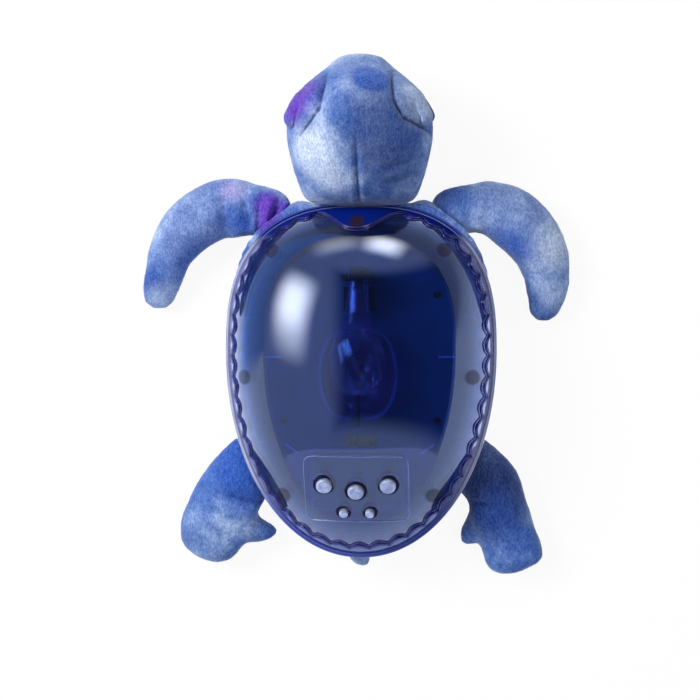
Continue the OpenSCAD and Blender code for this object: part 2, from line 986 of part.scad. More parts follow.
module button_bracket() {
  color([0.35, 0.45, 0.9, 0.8])
    difference() {
      union() {
        at_panel()
          translate([0, 0, bracket_s])
            linear_extrude(height = bracket_thick)
              polygon(rounded_box(bracket_w, bracket_l, 5));
        difference() {
          for (g = legs) {
            p = panel_point(g[0], g[1], bracket_s);
            translate([p.x, p.y, chassis_top])
              cylinder(d = leg_d, h = p.z - chassis_top + leg_d);
          }
          at_panel()
            translate([0, 0, bracket_s + bracket_thick / 2 + 25])
              cube([90, 90, 50], center = true);
        }
      }
      at_panel()
        at_key_screws()
          translate([0, 0, bracket_s - 1])
            cylinder(d = key_screw_d + 2 * pilot_gap, h = bracket_thick + 2);
    }
}

module button_board() {
  color([0.12, 0.3, 0.45])
    at_panel()
      difference() {
        translate([0, 0, board_s - board])
          linear_extrude(height = board)
            polygon(rounded_box(key_board_w, key_board_l, 2));
        at_key_screws()
          translate([0, 0, board_s - board - 1])
            cylinder(d = key_screw_d + 0.4, h = board + 2);
      }
}

module bracket_screws() {
  color([0.6, 0.6, 0.62])
    at_panel()
      at_key_screws() {
        translate([0, 0, bracket_s])
          cylinder(d = key_screw_d, h = bracket_thick + board + 0.5);
        translate([0, 0, board_s])
          cylinder(d = key_head_d, h = 1.3);
      }
}

module key_switches() {
  color([0.15, 0.15, 0.16])
    at_panel()
      for (b = buttons)
        translate([b[0], b[1], board_s]) {
          translate([-switch_side / 2, -switch_side / 2, 0])
            cube([switch_side, switch_side, switch_body]);
          cylinder(d = 3.2, h = switch_top);
        }
}

module button(b) {
  top = lip_top(b);
  foot = board_s + switch_top + button_travel + press_room;
  intersection() {
    at_panel()
      translate([b[0], b[1], top - lip_thick / 2])
        cylinder(d = b[2], h = 2 * board_depth);
    dome_solid(button_proud);
  }
  at_panel()
    translate([b[0], b[1], 0]) {
      translate([0, 0, top - lip_thick])
        cylinder(d = b[2] + 2 * lip_more, h = lip_thick);
      translate([0, 0, foot])
        cylinder(d = stem_d, h = top - lip_thick / 2 - foot);
    }
}

module left_button() { color([0.8, 0.82, 0.85]) button(buttons[0]); }

module middle_button() { color([0.8, 0.82, 0.85]) button(buttons[1]); }

module right_button() { color([0.8, 0.82, 0.85]) button(buttons[2]); }

module small_left_button() { color([0.8, 0.82, 0.85]) button(buttons[3]); }

module small_right_button() { color([0.8, 0.82, 0.85]) button(buttons[4]); }

// Plush: a padded bag around the tray, with an opening for the battery door

plush_more = 1.5;
plush_fullness = 3.2;
plush_top = flange_z - soft_gap;
door_margin = 8;
elastic = 2.4;
elastic_inset = 3;

module plush_bowl(inset, low, high) {
  bowl(hem_inset + inset, low, high, plush_more + hem_inset, plush_fullness);
}

module plush_body() {
  color([0.45, 0.55, 0.85])
    difference() {
      plush_bowl(0, 0, plush_top);
      bowl(tray_inset - soft_gap, belly_pad, rim_height);
      linear_extrude(height = 3 * belly_pad, center = true)
        translate([0, bay_y])
          polygon(rounded_box(door_width + 2 * door_margin, door_length + 2 * door_margin, 6));
      translate([0, 0, plush_top - 3 - elastic])
        hem_ring(elastic + 2 * fit_gap, elastic_inset - fit_gap);
    }
}

module hem_ring(height, inset) {
  linear_extrude(height = height)
    difference() {
      polygon([for (t = [0 : outline_step : 360 - outline_step]) plush_point(t, inset)]);
      polygon([for (t = [0 : outline_step : 360 - outline_step])
        plush_point(t, inset + elastic + 2 * (elastic_inset - inset))]);
    }
}

function plush_point(t, inset) =
  egg_point(t, hem_inset + inset, plush_more + hem_inset, plush_fullness);

module hem_elastic() {
  color([0.9, 0.9, 0.95])
    translate([0, 0, plush_top - 3 - elastic + fit_gap])
      hem_ring(elastic, elastic_inset);
}

// Stuffed pieces are lofts along a curve: x, y, z, half width, half height

loft_sides = 20;
loft_steps = 4;
cap_steps = 4;

function curve(s, u) =
  let (
    n = len(s),
    i = min(floor(u), n - 2),
    f = u - i,
    a = s[max(i - 1, 0)],
    b = s[i],
    c = s[i + 1],
    d = s[min(i + 2, n - 1)]
  )
  (2 * b + (c - a) * f + (2 * a - 5 * b + 4 * c - d) * f * f + (3 * b - a - 3 * c + d) * f * f * f) / 2;

function heading(s, u) =
  let (
    last = len(s) - 1,
    p = curve(s, min(u + 0.02, last)) - curve(s, max(u - 0.02, 0)),
    flat = [p.x, p.y, 0]
  )
  flat / norm(flat);

function loft_ring(s, u, shift, share) =
  let (
    p = curve(s, u),
    ahead = heading(s, u),
    side = [ahead.y, -ahead.x, 0],
    middle = [p.x, p.y, p.z] + shift * ahead
  )
  [for (k = [0 : loft_sides - 1])
    let (a = 360 * k / loft_sides)
      middle + share * (p[3] * cos(a) * side + [0, 0, p[4] * sin(a)])];

module stuffed(s, root_cap, tip_cap) {
  last = len(s) - 1;
  caps = [for (k = [1 : cap_steps - 1]) 90 * k / cap_steps];
  rings = concat(
    [for (a = caps) loft_ring(s, 0, -root_cap * cos(a), sin(a))],
    [for (i = [0 : loft_steps * last]) loft_ring(s, i / loft_steps, 0, 1)],
    [for (k = [len(caps) - 1 : -1 : 0]) loft_ring(s, last, tip_cap * cos(caps[k]), sin(caps[k]))]
  );
  count = len(rings);
  poles = [loft_ring(s, 0, -root_cap, 0)[0], loft_ring(s, last, tip_cap, 0)[0]];
  tip = count * loft_sides + 1;
  polyhedron(
    points = concat([for (r = rings) each r], poles),
    faces = concat(
      [for (k = [0 : loft_sides - 1]) [count * loft_sides, (k + 1) % loft_sides, k]],
      [for (i = [0 : count - 2], k = [0 : loft_sides - 1], h = [0, 1])
        let (a = i * loft_sides + k, b = i * loft_sides + (k + 1) % loft_sides)
          h == 0 ? [a, b, b + loft_sides] : [a, b + loft_sides, a + loft_sides]],
      [for (k = [0 : loft_sides - 1])
        [tip, (count - 1) * loft_sides + k, (count - 1) * loft_sides + (k + 1) % loft_sides]]
    )
  );
}

// Head: x and y from the front of the plush body, sizes as shares of the head

neck_y = widest_y + shell_front + plush_more + 0.6;
neck_z = head_lift - 8;
head_rows = [
  [0.4, 0.66, 0.24, 1],
  [1.8, 0.74, 0.4, 0.95],
  [6, 0.81, 0.6, 0.8],
  [19, 0.9, 0.82, 0.4],
  [36, 0.98, 0.96, 0.1],
  [52, 1, 1, 0],
  [66, 0.91, 0.95, 0.1],
  [80, 0.68, 0.78, 0.4],
  [91, 0.42, 0.54, 0.8]
];
head_tip = 8;

function head_stations(grow) = [
  for (r = head_rows)
    [0, neck_y + r[0], head_lift + (neck_z - head_lift) * r[3],
      head_half_width * r[1] + grow, head_half_height * r[2] + grow]
];

module head_solid(grow) {
  stuffed(head_stations(grow), 0.3, head_tip + grow);
}

module head() {
  color([0.5, 0.58, 0.88])
    head_solid(0);
}

// Eyelids and eyes: puffs sewn on the front corners of the head

lid_ahead = 61;
lid_inset = 17;
lid_half = 12;
lid_tall = 14;
lid_z = head_lift + 16;
eye_ahead = 65;
eye_inset = 14;
eye_half = 9;
eye_tall = 7;
eye_z = lid_z - lid_tall - eye_tall - soft_gap;

module puff(side, ahead, inset, z, half, tall) {
  x = side * (head_half_width - inset);
  y = neck_y + ahead;
  difference() {
    stuffed([
      [x + side * 8, y - 9, z, half * 0.8, tall * 0.8],
      [x, y, z, half, tall],
      [x - side * 9, y + 8, z, half * 0.8, tall * 0.8]
    ], half * 0.7, half * 0.7);
    head_solid(soft_gap / 2);
  }
}

module eyelid(side) { puff(side, lid_ahead, lid_inset, lid_z, lid_half, lid_tall); }

module eye(side) { puff(side, eye_ahead, eye_inset, eye_z, eye_half, eye_tall); }

module left_eyelid() { color([0.45, 0.35, 0.75]) eyelid(-1); }

module right_eyelid() { color([0.7, 0.7, 0.85]) eyelid(1); }

module left_eye() { color([0.05, 0.05, 0.12]) eye(-1); }

module right_eye() { color([0.05, 0.05, 0.12]) eye(1); }

// Flippers: each starts at a seam on the plush body, then follows its own curve

root_half = root_thickness / 2;
root_z = 22;
root_cap = 5;

// A place on the side of the plush body, a given way round from the right
function seam(t) = plush_point(t, 0);

// The soft limbs lie a little to the left of the seams' middle
lean = -1.8;

// Rows hold x and y from the seam, half width, half height and middle height
function flipper(root, rows) = [
  for (r = rows) [root.x + lean + r[0], root.y + r[1], r[4], r[2], r[3]]
];

front_angle = 48;
rear_angle = -38;
left_front_tip = 8.5;
right_front_tip = 11;
left_rear_tip = 12;
right_rear_tip = 10;
toe_tip = 5;

left_front_rows = [
  [6, 1.5, 20, root_half, root_z], [-8, 12, 21, 15, 20], [-22, 16, 21.6, 16.5, 18.5],
  [-37, 11, 21.5, 17, 18], [-52.5, 0, 20.3, 16, 17], [-64.6, -17, 16.8, 13.5, 14.5],
  [-69.8, -34.3, 14, 11, 12], [-71.2, -46.5, 10.5, 8.5, 9.5]
];
right_front_rows = [
  [-6, 1.5, 18, root_half, root_z], [7, 12, 19, 15, 20], [20, 13.5, 20.6, 16.5, 18.5],
  [34.3, 7.2, 22.5, 17, 18], [47.2, -5, 22, 16, 17], [55.6, -18.9, 20, 14, 15],
  [59.1, -34.9, 17.2, 11.5, 12.5], [58.3, -53.5, 11.5, 9, 10]
];
left_rear_rows = [
  [-0.6, 13.6, 20, root_half, root_z], [-14.7, -6.4, 24, 15.5, 19.5], [-24.7, -24.4, 25.5, 17, 18.5],
  [-29.7, -39.4, 25, 16, 17], [-32.2, -47.4, 21, 14, 15]
];
right_rear_rows = [
  [0.6, 13.6, 19, root_half, root_z], [14.1, -5.4, 21, 15.5, 19.5], [22, -20, 21.5, 17, 18.5],
  [28.5, -36, 21, 16, 17], [34, -56, 19.5, 14, 15]
];

// The rear flippers have a toe on the side of the tail
left_toe_rows = [[-16, -31, 12, 12, 16], [-5.7, -39.4, 11, 10.5, 14], [-0.7, -43.4, 8.5, 8.5, 12]];
right_toe_rows = [[21, -30, 11, 12, 16], [8.7, -36.4, 9.5, 10, 14], [2.7, -38.9, 7.5, 8, 12]];

// A stuffed piece whose root is cut to lie against the side of the plush body
module sewn(root, rows, tip_cap, toe_rows = []) {
  difference() {
    union() {
      stuffed(flipper(root, rows), root_cap, tip_cap);
      if (len(toe_rows) > 0)
        stuffed(flipper(root, toe_rows), toe_tip, toe_tip);
    }
    plush_bowl(-soft_gap, -1, plush_top + 1);
  }
}

module left_front_flipper() {
  color([0.5, 0.45, 0.85])
    sewn(seam(180 - front_angle), left_front_rows, left_front_tip);
}

module right_front_flipper() {
  color([0.5, 0.55, 0.88])
    sewn(seam(front_angle), right_front_rows, right_front_tip);
}

module left_rear_flipper() {
  color([0.35, 0.42, 0.8])
    sewn(seam(180 - rear_angle), left_rear_rows, left_rear_tip, left_toe_rows);
}

module right_rear_flipper() {
  color([0.35, 0.42, 0.8])
    sewn(seam(rear_angle), right_rear_rows, right_rear_tip, right_toe_rows);
}

tail_z = 27;
tail_rows = [[0, 8, 10, 8, tail_z], [1, -3, 8.5, 6.5, tail_z - 1], [3, -8, 4.5, 3.5, tail_z - 2]];
tail_tip = 3;

module tail() {
  color([0.55, 0.65, 0.9])
    sewn(seam(-90), tail_rows, tail_tip);
}

dome();
scallop_bezel();
base_tray();
case_screws();
chassis_plate();
chassis_screws();
lamp_cradle();
wave_drum();
drum_pin();
drum_gear();
bearing_post();
motor();
motor_shaft();
motor_pinion();
motor_saddle();
led_board();
led_emitters();
driver_board();
main_board();
board_parts();
speaker_basket();
speaker_cone();
speaker_magnet();
battery_cells();
battery_springs();
battery_contacts();
battery_door();
door_screw();
button_bracket();
button_board();
key_switches();
bracket_screws();
left_button();
middle_button();
right_button();
small_left_button();
small_right_button();
plush_body();
hem_elastic();
head();
left_eyelid();
right_eyelid();
left_eye();
right_eye();
left_front_flipper();
right_front_flipper();
left_rear_flipper();
right_rear_flipper();
tail();
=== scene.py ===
# %% [markdown]
# # A plush turtle that carries a clear shell
# The real object is a night light. A stuffed sea turtle holds a clear, dark blue dome on its back, and
# under the dome a small lamp shines through a slowly turning ripple drum. The hard frame is already
# there when this script starts: every solid has its real size and place. Here the frame gets its looks.
# Some solids keep their shape and only get a finish, and others are replaced by finer pieces.

# %% Load the frame
import json
import math

import bmesh
import bpy
from mathutils import Matrix, Vector


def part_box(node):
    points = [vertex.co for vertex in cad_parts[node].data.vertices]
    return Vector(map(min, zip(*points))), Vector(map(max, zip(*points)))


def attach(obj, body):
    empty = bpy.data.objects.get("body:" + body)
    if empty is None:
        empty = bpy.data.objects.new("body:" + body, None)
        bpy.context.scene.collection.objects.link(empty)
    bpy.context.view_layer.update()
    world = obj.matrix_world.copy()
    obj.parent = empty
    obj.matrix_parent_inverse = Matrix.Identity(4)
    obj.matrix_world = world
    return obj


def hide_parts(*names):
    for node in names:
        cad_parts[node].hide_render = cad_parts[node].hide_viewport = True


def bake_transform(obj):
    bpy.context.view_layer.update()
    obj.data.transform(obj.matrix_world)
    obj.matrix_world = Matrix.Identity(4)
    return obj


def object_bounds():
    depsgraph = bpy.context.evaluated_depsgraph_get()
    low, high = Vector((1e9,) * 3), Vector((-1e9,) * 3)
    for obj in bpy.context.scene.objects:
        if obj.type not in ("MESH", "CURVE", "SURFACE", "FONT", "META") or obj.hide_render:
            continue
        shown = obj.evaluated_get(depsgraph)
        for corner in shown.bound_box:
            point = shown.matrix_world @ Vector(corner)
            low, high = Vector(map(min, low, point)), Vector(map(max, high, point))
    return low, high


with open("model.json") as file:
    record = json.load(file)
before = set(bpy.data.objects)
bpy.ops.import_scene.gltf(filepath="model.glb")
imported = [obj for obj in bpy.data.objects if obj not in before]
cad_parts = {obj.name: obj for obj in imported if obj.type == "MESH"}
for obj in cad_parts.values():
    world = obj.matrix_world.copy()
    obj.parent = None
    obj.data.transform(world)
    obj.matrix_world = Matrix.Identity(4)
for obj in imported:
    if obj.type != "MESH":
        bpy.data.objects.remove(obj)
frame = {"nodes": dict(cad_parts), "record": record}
cad_low, cad_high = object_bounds()
MM = 0.001
print("frame", [round(side / MM) for side in cad_high - cad_low], "mm")

# %% [markdown]
# ## The camera
# The photograph is taken from above. Blender's camera looks down its own -Z axis with +Y up, so it needs
# hardly any turn. In the photograph high places, such as the buttons, lie a little to the left of the rim's
# middle, so the camera hangs to the right and leans back towards the middle of the picture. Its angle of
# view follows from one known scale: how many millimetres a pixel covers at the height of the rim.

# %% Camera
IMAGE_SIDE = 700
RIM_Z = 46 * MM
PIXEL_AT_RIM = 0.68 * MM
PICTURE_X, PICTURE_Y = -7.1 * MM, 20.7 * MM
CAMERA_RIGHT = 65 * MM
CAMERA_HEIGHT = 1100 * MM
picture_width = IMAGE_SIDE * PIXEL_AT_RIM
aside = CAMERA_RIGHT - PICTURE_X
above = CAMERA_HEIGHT - RIM_Z

bpy.ops.object.camera_add(
    location=(CAMERA_RIGHT, PICTURE_Y, CAMERA_HEIGHT), rotation=(0, math.atan2(aside, above), 0)
)
camera = bpy.context.object
camera.name = "overhead_camera"
camera.data.angle = 2 * math.atan(picture_width / 2 / math.hypot(aside, above))
camera.data.clip_start = 0.01
bpy.context.scene.camera = camera
bpy.context.scene.view_settings.view_transform = "Standard"
print("camera angle", round(math.degrees(camera.data.angle), 2))

# %% [markdown]
# ## Writing a finish
# Each surface is a tree of shader nodes. Sums and products of values are easier to read as expressions,
# so a small class wraps an output socket and adds a Math node for each operator. Every other node comes
# from one method that takes its type, its settings and its inputs. The light of the room is written in the
# same way.


# %% Sockets that can be added and multiplied
def operator(operation, turned=False):
    """A method that joins a wire and another value in a Math node."""

    def method(self, other):
        first, second = (other, self) if turned else (self, other)
        return self.finish.node("Math", {"operation": operation}, {0: first, 1: second})

    return method


class Wire:
    """An output socket of a finish; arithmetic on it adds Math nodes."""

    def __init__(self, finish, socket):
        self.finish = finish
        self.socket = socket

    __add__ = operator("ADD")
    __radd__ = operator("ADD", True)
    __sub__ = operator("SUBTRACT")
    __rsub__ = operator("SUBTRACT", True)
    __mul__ = operator("MULTIPLY")
    __rmul__ = operator("MULTIPLY", True)
    __pow__ = operator("POWER")


class Finish:
    """One material, or the world, and the nodes that make it."""

    def __init__(self, name, world=False):
        self.made = (bpy.data.worlds if world else bpy.data.materials).new(name)
        self.made.use_nodes = True
        self.tree = self.made.node_tree
        self.tree.nodes.clear()
        self.place = self.node("TexCoord", output="Generated" if world else "Object")

    def node(self, kind, settings=None, inputs=None, output=0):
        made = self.tree.nodes.new("ShaderNode" + kind)
        for key, value in (settings or {}).items():
            if key == "stops":
                self.set_stops(made.color_ramp, value)
            else:
                setattr(made, key, value)
        for key, value in (inputs or {}).items():
            if isinstance(value, Wire):
                self.tree.links.new(value.socket, made.inputs[key])
            else:
                made.inputs[key].default_value = value
        return Wire(self, made.outputs[output])

    def set_stops(self, ramp, stops):
        while len(ramp.elements) < len(stops):
            ramp.elements.new(0.5)
        for element, (where, colour) in zip(ramp.elements, stops):
            element.position = where
            element.color = colour

    def noise(self, size, detail=2.0, place=None, roughness=0.5):
        inputs = {"Vector": place or self.place, "Scale": 1 / size, "Detail": detail, "Roughness": roughness}
        return self.node("TexNoise", {}, inputs)

    def mix(self, share, first, second):
        """Mixes two colours, which are inputs 6 and 7 of the Mix node."""
        inputs = {0: share, 6: first, 7: second}
        return self.node("Mix", {"data_type": "RGBA"}, inputs, output=2)

    def layer(self, share, first, second):
        """Mixes two shaders."""
        return self.node("MixShader", {}, {0: share, 1: first, 2: second})

    def between(self, value, low, high):
        settings = {"interpolation_type": "SMOOTHSTEP"}
        return self.node("MapRange", settings, {"Value": value, "From Min": low, "From Max": high})

    def vector(self, operation, first, second, output=0):
        return self.node("VectorMath", {"operation": operation}, {0: first, 1: second}, output)

    def near(self, spot, radius, soft, place=None):
        """1 close to a spot, 0 beyond the radius, with a soft edge."""
        way = self.vector("DISTANCE", place or self.place, spot, "Value")
        return self.between(way, radius + soft, radius - soft)

    def axis(self, letter, place=None):
        return self.node("SeparateXYZ", {}, {0: place or self.place}, letter)

    def rays(self, kind):
        return self.node("LightPath", output=kind)

    def bump(self, height, depth, strength=1.0):
        return self.node("Bump", {}, {"Height": height, "Distance": depth, "Strength": strength})

    def surface(self, colour, rough, more):
        inputs = {"Base Color": colour, "Roughness": rough, **more}
        return self.node("BsdfPrincipled", {}, inputs)

    def done(self, shader, kind="Material"):
        output = self.tree.nodes.new("ShaderNodeOutput" + kind)
        self.tree.links.new(shader.socket, output.inputs["Surface"])
        return self.made


def tone(red, green, blue):
    """A colour from its 0 to 255 screen values."""
    shares = [value / 255 for value in (red, green, blue)]
    return (*[s / 12.92 if s < 0.04045 else ((s + 0.055) / 1.055) ** 2.4 for s in shares], 1.0)


def scaled(colour, factor, more=0.0):
    """A colour times a factor, no brighter than white."""
    return (*[min(1.0, factor * value + more) for value in colour[:3]], 1.0)


# %% [markdown]
# ## Floor and light
# The turtle lies on a pale floor. Soft light comes from all round, and two large lamps hang above it.
# The dome is glossy, so what it mirrors matters as much as the light. Pale cards with soft edges stand to
# the left and to the front, and a white sheet with a round top stands to the rear. Only reflections see
# them, as a studio's cards are kept out of the picture. In reflections the room is dark overhead and pale
# to the left, to the rear and far to the front, and the floor dims ahead of the turtle and far to its left.

# %% Floor and world
WHITE = (1, 1, 1, 1)
FLOOR_Z = -0.4 * MM
FLOOR_GLOW = 0.92
FLOOR_MIRRORED = (1.8, 2.2, 3.3, 1)
FLOOR_AHEAD = (0.5, 0.65, 1.1, 1)
FLOOR_BESIDE = (0.5, 1.0, 2.6, 1)
WORLD_LIGHT = (0.31, 0.315, 0.33, 1)
MIRRORED_DARK = (0.04, 0.05, 0.06, 1)
MIRRORED_PALE = (0.9, 1.1, 1.5, 1)
# Where the room turns pale in reflections: an axis, and where the change starts and ends along it
PALE_FROM = (("X", -0.16, -0.48), ("Y", -0.38, -0.56), ("Y", 0.58, 0.76))


def floor_finish():
    finish = Finish("pale_floor")
    colour = finish.mix(finish.noise(0.004, 3.0), (0.93, 0.93, 0.935, 1), (0.96, 0.96, 0.96, 1))
    sheet = finish.surface(colour, 0.9, {"Specular IOR Level": 0.1})
    seen = finish.rays("Is Camera Ray") + finish.rays("Is Transmission Ray")
    mirrored = finish.rays("Is Glossy Ray")
    across, along = finish.axis("X"), finish.axis("Y")
    reflected = finish.mix(finish.between(along, 0.02, 0.22), FLOOR_MIRRORED, FLOOR_AHEAD)
    beside = finish.between(across, -0.15, -0.21) * finish.between(along, -0.04, 0.02)
    reflected = finish.mix(beside, reflected, FLOOR_BESIDE)
    light = {"Color": finish.mix(mirrored, WHITE, reflected), "Strength": 1.0}
    glow = finish.node("Emission", {}, light)
    return finish.done(finish.layer((seen + mirrored) * FLOOR_GLOW, sheet, glow))


def room():
    """Even light and a white backdrop, and a darker room in reflections."""
    finish = Finish("soft_room", world=True)
    pale = 0.0
    for letter, start, end in PALE_FROM:
        here = finish.between(finish.axis(letter), start, end)
        pale = finish.node("Math", {"operation": "MAXIMUM"}, {0: pale, 1: here})
    mirrored = finish.mix(pale, MIRRORED_DARK, MIRRORED_PALE)
    light = finish.mix(finish.rays("Is Glossy Ray"), WORLD_LIGHT, mirrored)
    colour = finish.mix(finish.rays("Is Camera Ray"), light, WHITE)
    return finish.done(finish.node("Background", {}, {"Color": colour}), "World")


bpy.ops.object.select_all(action="DESELECT")
bpy.ops.mesh.primitive_plane_add(size=9, location=(0, 0, FLOOR_Z))
floor = bpy.context.object
floor.name = "pale_floor_sheet"
floor.data.materials.append(floor_finish())
bpy.context.scene.world = room()

# %% Lamps and cards
MIDDLE = (0, 0.02, 0.06)
CARD_SOFT = 0.45


def aim(place):
    return (Vector(MIDDLE) - Vector(place)).to_track_quat("-Z", "Y").to_euler()


def lamp(name, place, side, watts):
    bpy.ops.object.light_add(type="AREA", location=place, rotation=aim(place))
    made = bpy.context.object
    made.name = name
    made.data.size = side
    made.data.energy = watts
    made.visible_glossy = False


def mirrored_only(name, width, height, material):
    """Sizes and dresses the sheet that has just been added, and leaves it to reflections alone."""
    made = bpy.context.object
    made.name = name
    made.scale = (width, height, 1)
    bpy.ops.object.transform_apply()
    made.data.materials.append(material)
    for kind in ("camera", "diffuse", "transmission", "shadow"):
        setattr(made, "visible_" + kind, False)


def card(name, place, width, height, glow):
    """A card that faces the turtle; its light fades out towards its edges, along its UV square."""
    finish = Finish(name)
    square = finish.node("TexCoord", output="UV")
    fade = 1.0
    for letter in ("X", "Y"):
        along = finish.axis(letter, square)
        fade = fade * finish.between(along, 0.0, CARD_SOFT) * finish.between(along, 1.0, 1.0 - CARD_SOFT)
    clear = finish.node("BsdfTransparent", {}, {"Color": WHITE})
    light = finish.node("Emission", {}, {"Color": (0.96, 0.98, 1, 1), "Strength": glow})
    bpy.ops.mesh.primitive_plane_add(size=1, location=place, rotation=aim(place))
    mirrored_only(name, width, height, finish.done(finish.layer(fade, clear, light)))


def arch(name, y, half_width, height, glow):
    """A standing sheet with a round top: a filled circle, stretched and turned upright."""
    finish = Finish(name)
    light = finish.node("Emission", {}, {"Color": (0.8, 0.95, 1.5, 1), "Strength": glow})
    upright = (math.pi / 2, 0, 0)
    bpy.ops.mesh.primitive_circle_add(
        vertices=96, radius=1, fill_type="NGON", location=(0, y, 0), rotation=upright
    )
    mirrored_only(name, half_width, height, finish.done(light))


# A lamp has a place, a side and a power; a card has a place, a width, a height and a glow
lamp("left_lamp", (-1.0, 0.5, 1.2), 0.7, 26)
lamp("right_lamp", (0.9, -0.2, 1.6), 0.9, 7)
card("left_card", (-0.97, 0.36, 0.6), 0.98, 1.05, 19.0)
card("front_card", (0.3, 1.1, 0.3), 0.74, 0.7, 17.0)
card("front_fill_card", (-0.3, 1.1, 0.3), 0.9, 0.6, 5.0)
arch("rear_arch", -1.0, 1.6, 1.3, 1.9)
print("lamps and cards are up")

# %% [markdown]
# ## Modelling by hand, in code
# Operators act on what is selected, and the loaded frame is selected at the start. These helpers clear
# the selection, take one piece in hand, open it in edit mode, pick faces by a rule, apply modifiers, cut
# pieces and join them.


# %% Helpers for modelling
def let_go():
    bpy.ops.object.select_all(action="DESELECT")


def take(piece):
    let_go()
    piece.select_set(True)
    bpy.context.view_layer.objects.active = piece


def named(name):
    """The object that an operator has just added, under its own name."""
    piece = bpy.context.object
    piece.name = name
    piece.data.name = name
    return piece


def open_up(piece):
    take(piece)
    bpy.ops.object.mode_set(mode="EDIT")
    bpy.ops.mesh.select_mode(type="FACE")


def open_edges(piece):
    """Edit mode with edges, set beforehand: face mode would drop a selection of bare edges."""
    take(piece)
    bpy.context.tool_settings.mesh_select_mode = (False, True, False)
    bpy.ops.object.mode_set(mode="EDIT")


def close():
    bpy.ops.object.mode_set(mode="OBJECT")


def pick_faces(piece, rule):
    bpy.ops.mesh.select_all(action="DESELECT")
    mesh = bmesh.from_edit_mesh(piece.data)
    for face in mesh.faces:
        face.select_set(rule(face))
    bmesh.update_edit_mesh(piece.data)


def modify(piece, kind, **settings):
    take(piece)
    bpy.ops.object.modifier_add(type=kind)
    modifier = piece.modifiers[-1]
    for key, value in settings.items():
        setattr(modifier, key, value)
    bpy.ops.object.modifier_apply(modifier=modifier.name)


def clean(piece):
    """Merges doubled points and turns all faces outwards."""
    open_up(piece)
    bpy.ops.mesh.select_all(action="SELECT")
    bpy.ops.mesh.remove_doubles(threshold=0.01 * MM)
    bpy.ops.mesh.normals_make_consistent(inside=False)
    close()


def cut(piece, z, **side):
    """Cuts a piece level at a height and clears one side of the cut."""
    open_up(piece)
    bpy.ops.mesh.select_all(action="SELECT")
    bpy.ops.mesh.bisect(plane_co=(0, 0, z), plane_no=(0, 0, 1), **side)
    close()
    clean(piece)


def extrude(z):
    bpy.ops.mesh.extrude_region_move(TRANSFORM_OT_translate={"value": (0, 0, z)})


def joined(name, pieces):
    take(pieces[0])
    for piece in pieces:
        piece.select_set(True)
    bpy.ops.object.join()
    return named(name)


def settle(piece, angle=40):
    """Puts the piece's place into its mesh and smooths its shading."""
    take(piece)
    bpy.ops.object.transform_apply()
    bpy.ops.object.shade_smooth_by_angle(angle=math.radians(angle))


def wear(piece, body, slot, material, *nodes):
    """Dresses a piece, lets it ride on a body and stand for the nodes it replaces."""
    piece.data.materials.clear()
    piece.data.materials.append(material)
    if body:
        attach(piece, body)
    if nodes:
        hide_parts(*nodes)
    places = [[vertex.co[k] for vertex in piece.data.vertices] for k in range(3)]
    sides = [round((max(place) - min(place)) / MM, 1) for place in places]
    print(piece.name, len(piece.data.polygons), "faces,", sides, "mm")


# %% [markdown]
# ## The shell's outline
# From above the shell is an egg: a superellipse ahead of its widest line and a rounder one behind it.
# The dome is that egg turned about a lengthwise axis that lies below the rim, so both share one formula.

# %% Outline of the shell
HALF_WIDTH = 92 * MM
WIDEST_Y = 21 * MM
FRONT = 99 * MM
REAR = 141 * MM
FRONT_POWER = 2.6
REAR_POWER = 2.05
DOME_INSET = 3.85 * MM
DOME_WALL = 2.6 * MM
DOME_RISE = 70 * MM
dome_half = HALF_WIDTH - DOME_INSET
dome_sink = (dome_half**2 - DOME_RISE**2) / (2 * DOME_RISE)
dome_axis_z = RIM_Z - dome_sink


def egg_point(degrees, inset):
    """A point of the outline, turning from the right side to the nose at 90 degrees."""
    across, along = math.cos(math.radians(degrees)), math.sin(math.radians(degrees))
    power = FRONT_POWER if along >= 0 else REAR_POWER
    reach = FRONT if along >= 0 else REAR
    x = (HALF_WIDTH - inset) * math.copysign(abs(across) ** (2 / power), across)
    y = WIDEST_Y + (reach - inset) * math.copysign(abs(along) ** (2 / power), along)
    return x, y


def dome_radius(y, inset):
    power = FRONT_POWER if y >= WIDEST_Y else REAR_POWER
    reach = (FRONT if y >= WIDEST_Y else REAR) - inset
    share = min(1.0, abs(y - WIDEST_Y) / reach)
    half = (HALF_WIDTH - inset) * (1 - share**power) ** (1 / power)
    return math.hypot(half, dome_sink)


def dome_height(x, y, inset):
    """Height of the dome's skin over a place, or of the rim outside it."""
    rest = dome_radius(y, inset) ** 2 - x * x
    return max(RIM_Z, dome_axis_z + math.sqrt(max(rest, 0)))


print("dome top", round(dome_height(0, WIDEST_Y, DOME_INSET) / MM, 1), "mm")

# %% [markdown]
# ## The clear dome
# On the real object this is one moulding of tinted plastic. It could be a stretched sphere, but its plan
# isn't an ellipse, so the outline is drawn point by point with extrude, spun about the lengthwise axis
# and cut off at the rim with bisect. Solidify then gives the wall.


# %% Turn an outline about a lengthwise axis
def laid_line(name, points):
    """An open line: one point, extruded from place to place."""
    let_go()
    bpy.ops.mesh.primitive_plane_add(size=MM, location=(0, 0, 0))
    piece = named(name)
    bpy.ops.object.mode_set(mode="EDIT")
    bpy.ops.mesh.select_mode(type="VERT")
    bpy.ops.mesh.select_all(action="SELECT")
    bpy.ops.mesh.merge(type="CENTER")
    bpy.ops.transform.translate(value=points[0])
    for here, there in zip(points, points[1:]):
        bpy.ops.mesh.extrude_vertices_move(TRANSFORM_OT_translate={"value": there - here})
    close()
    return piece


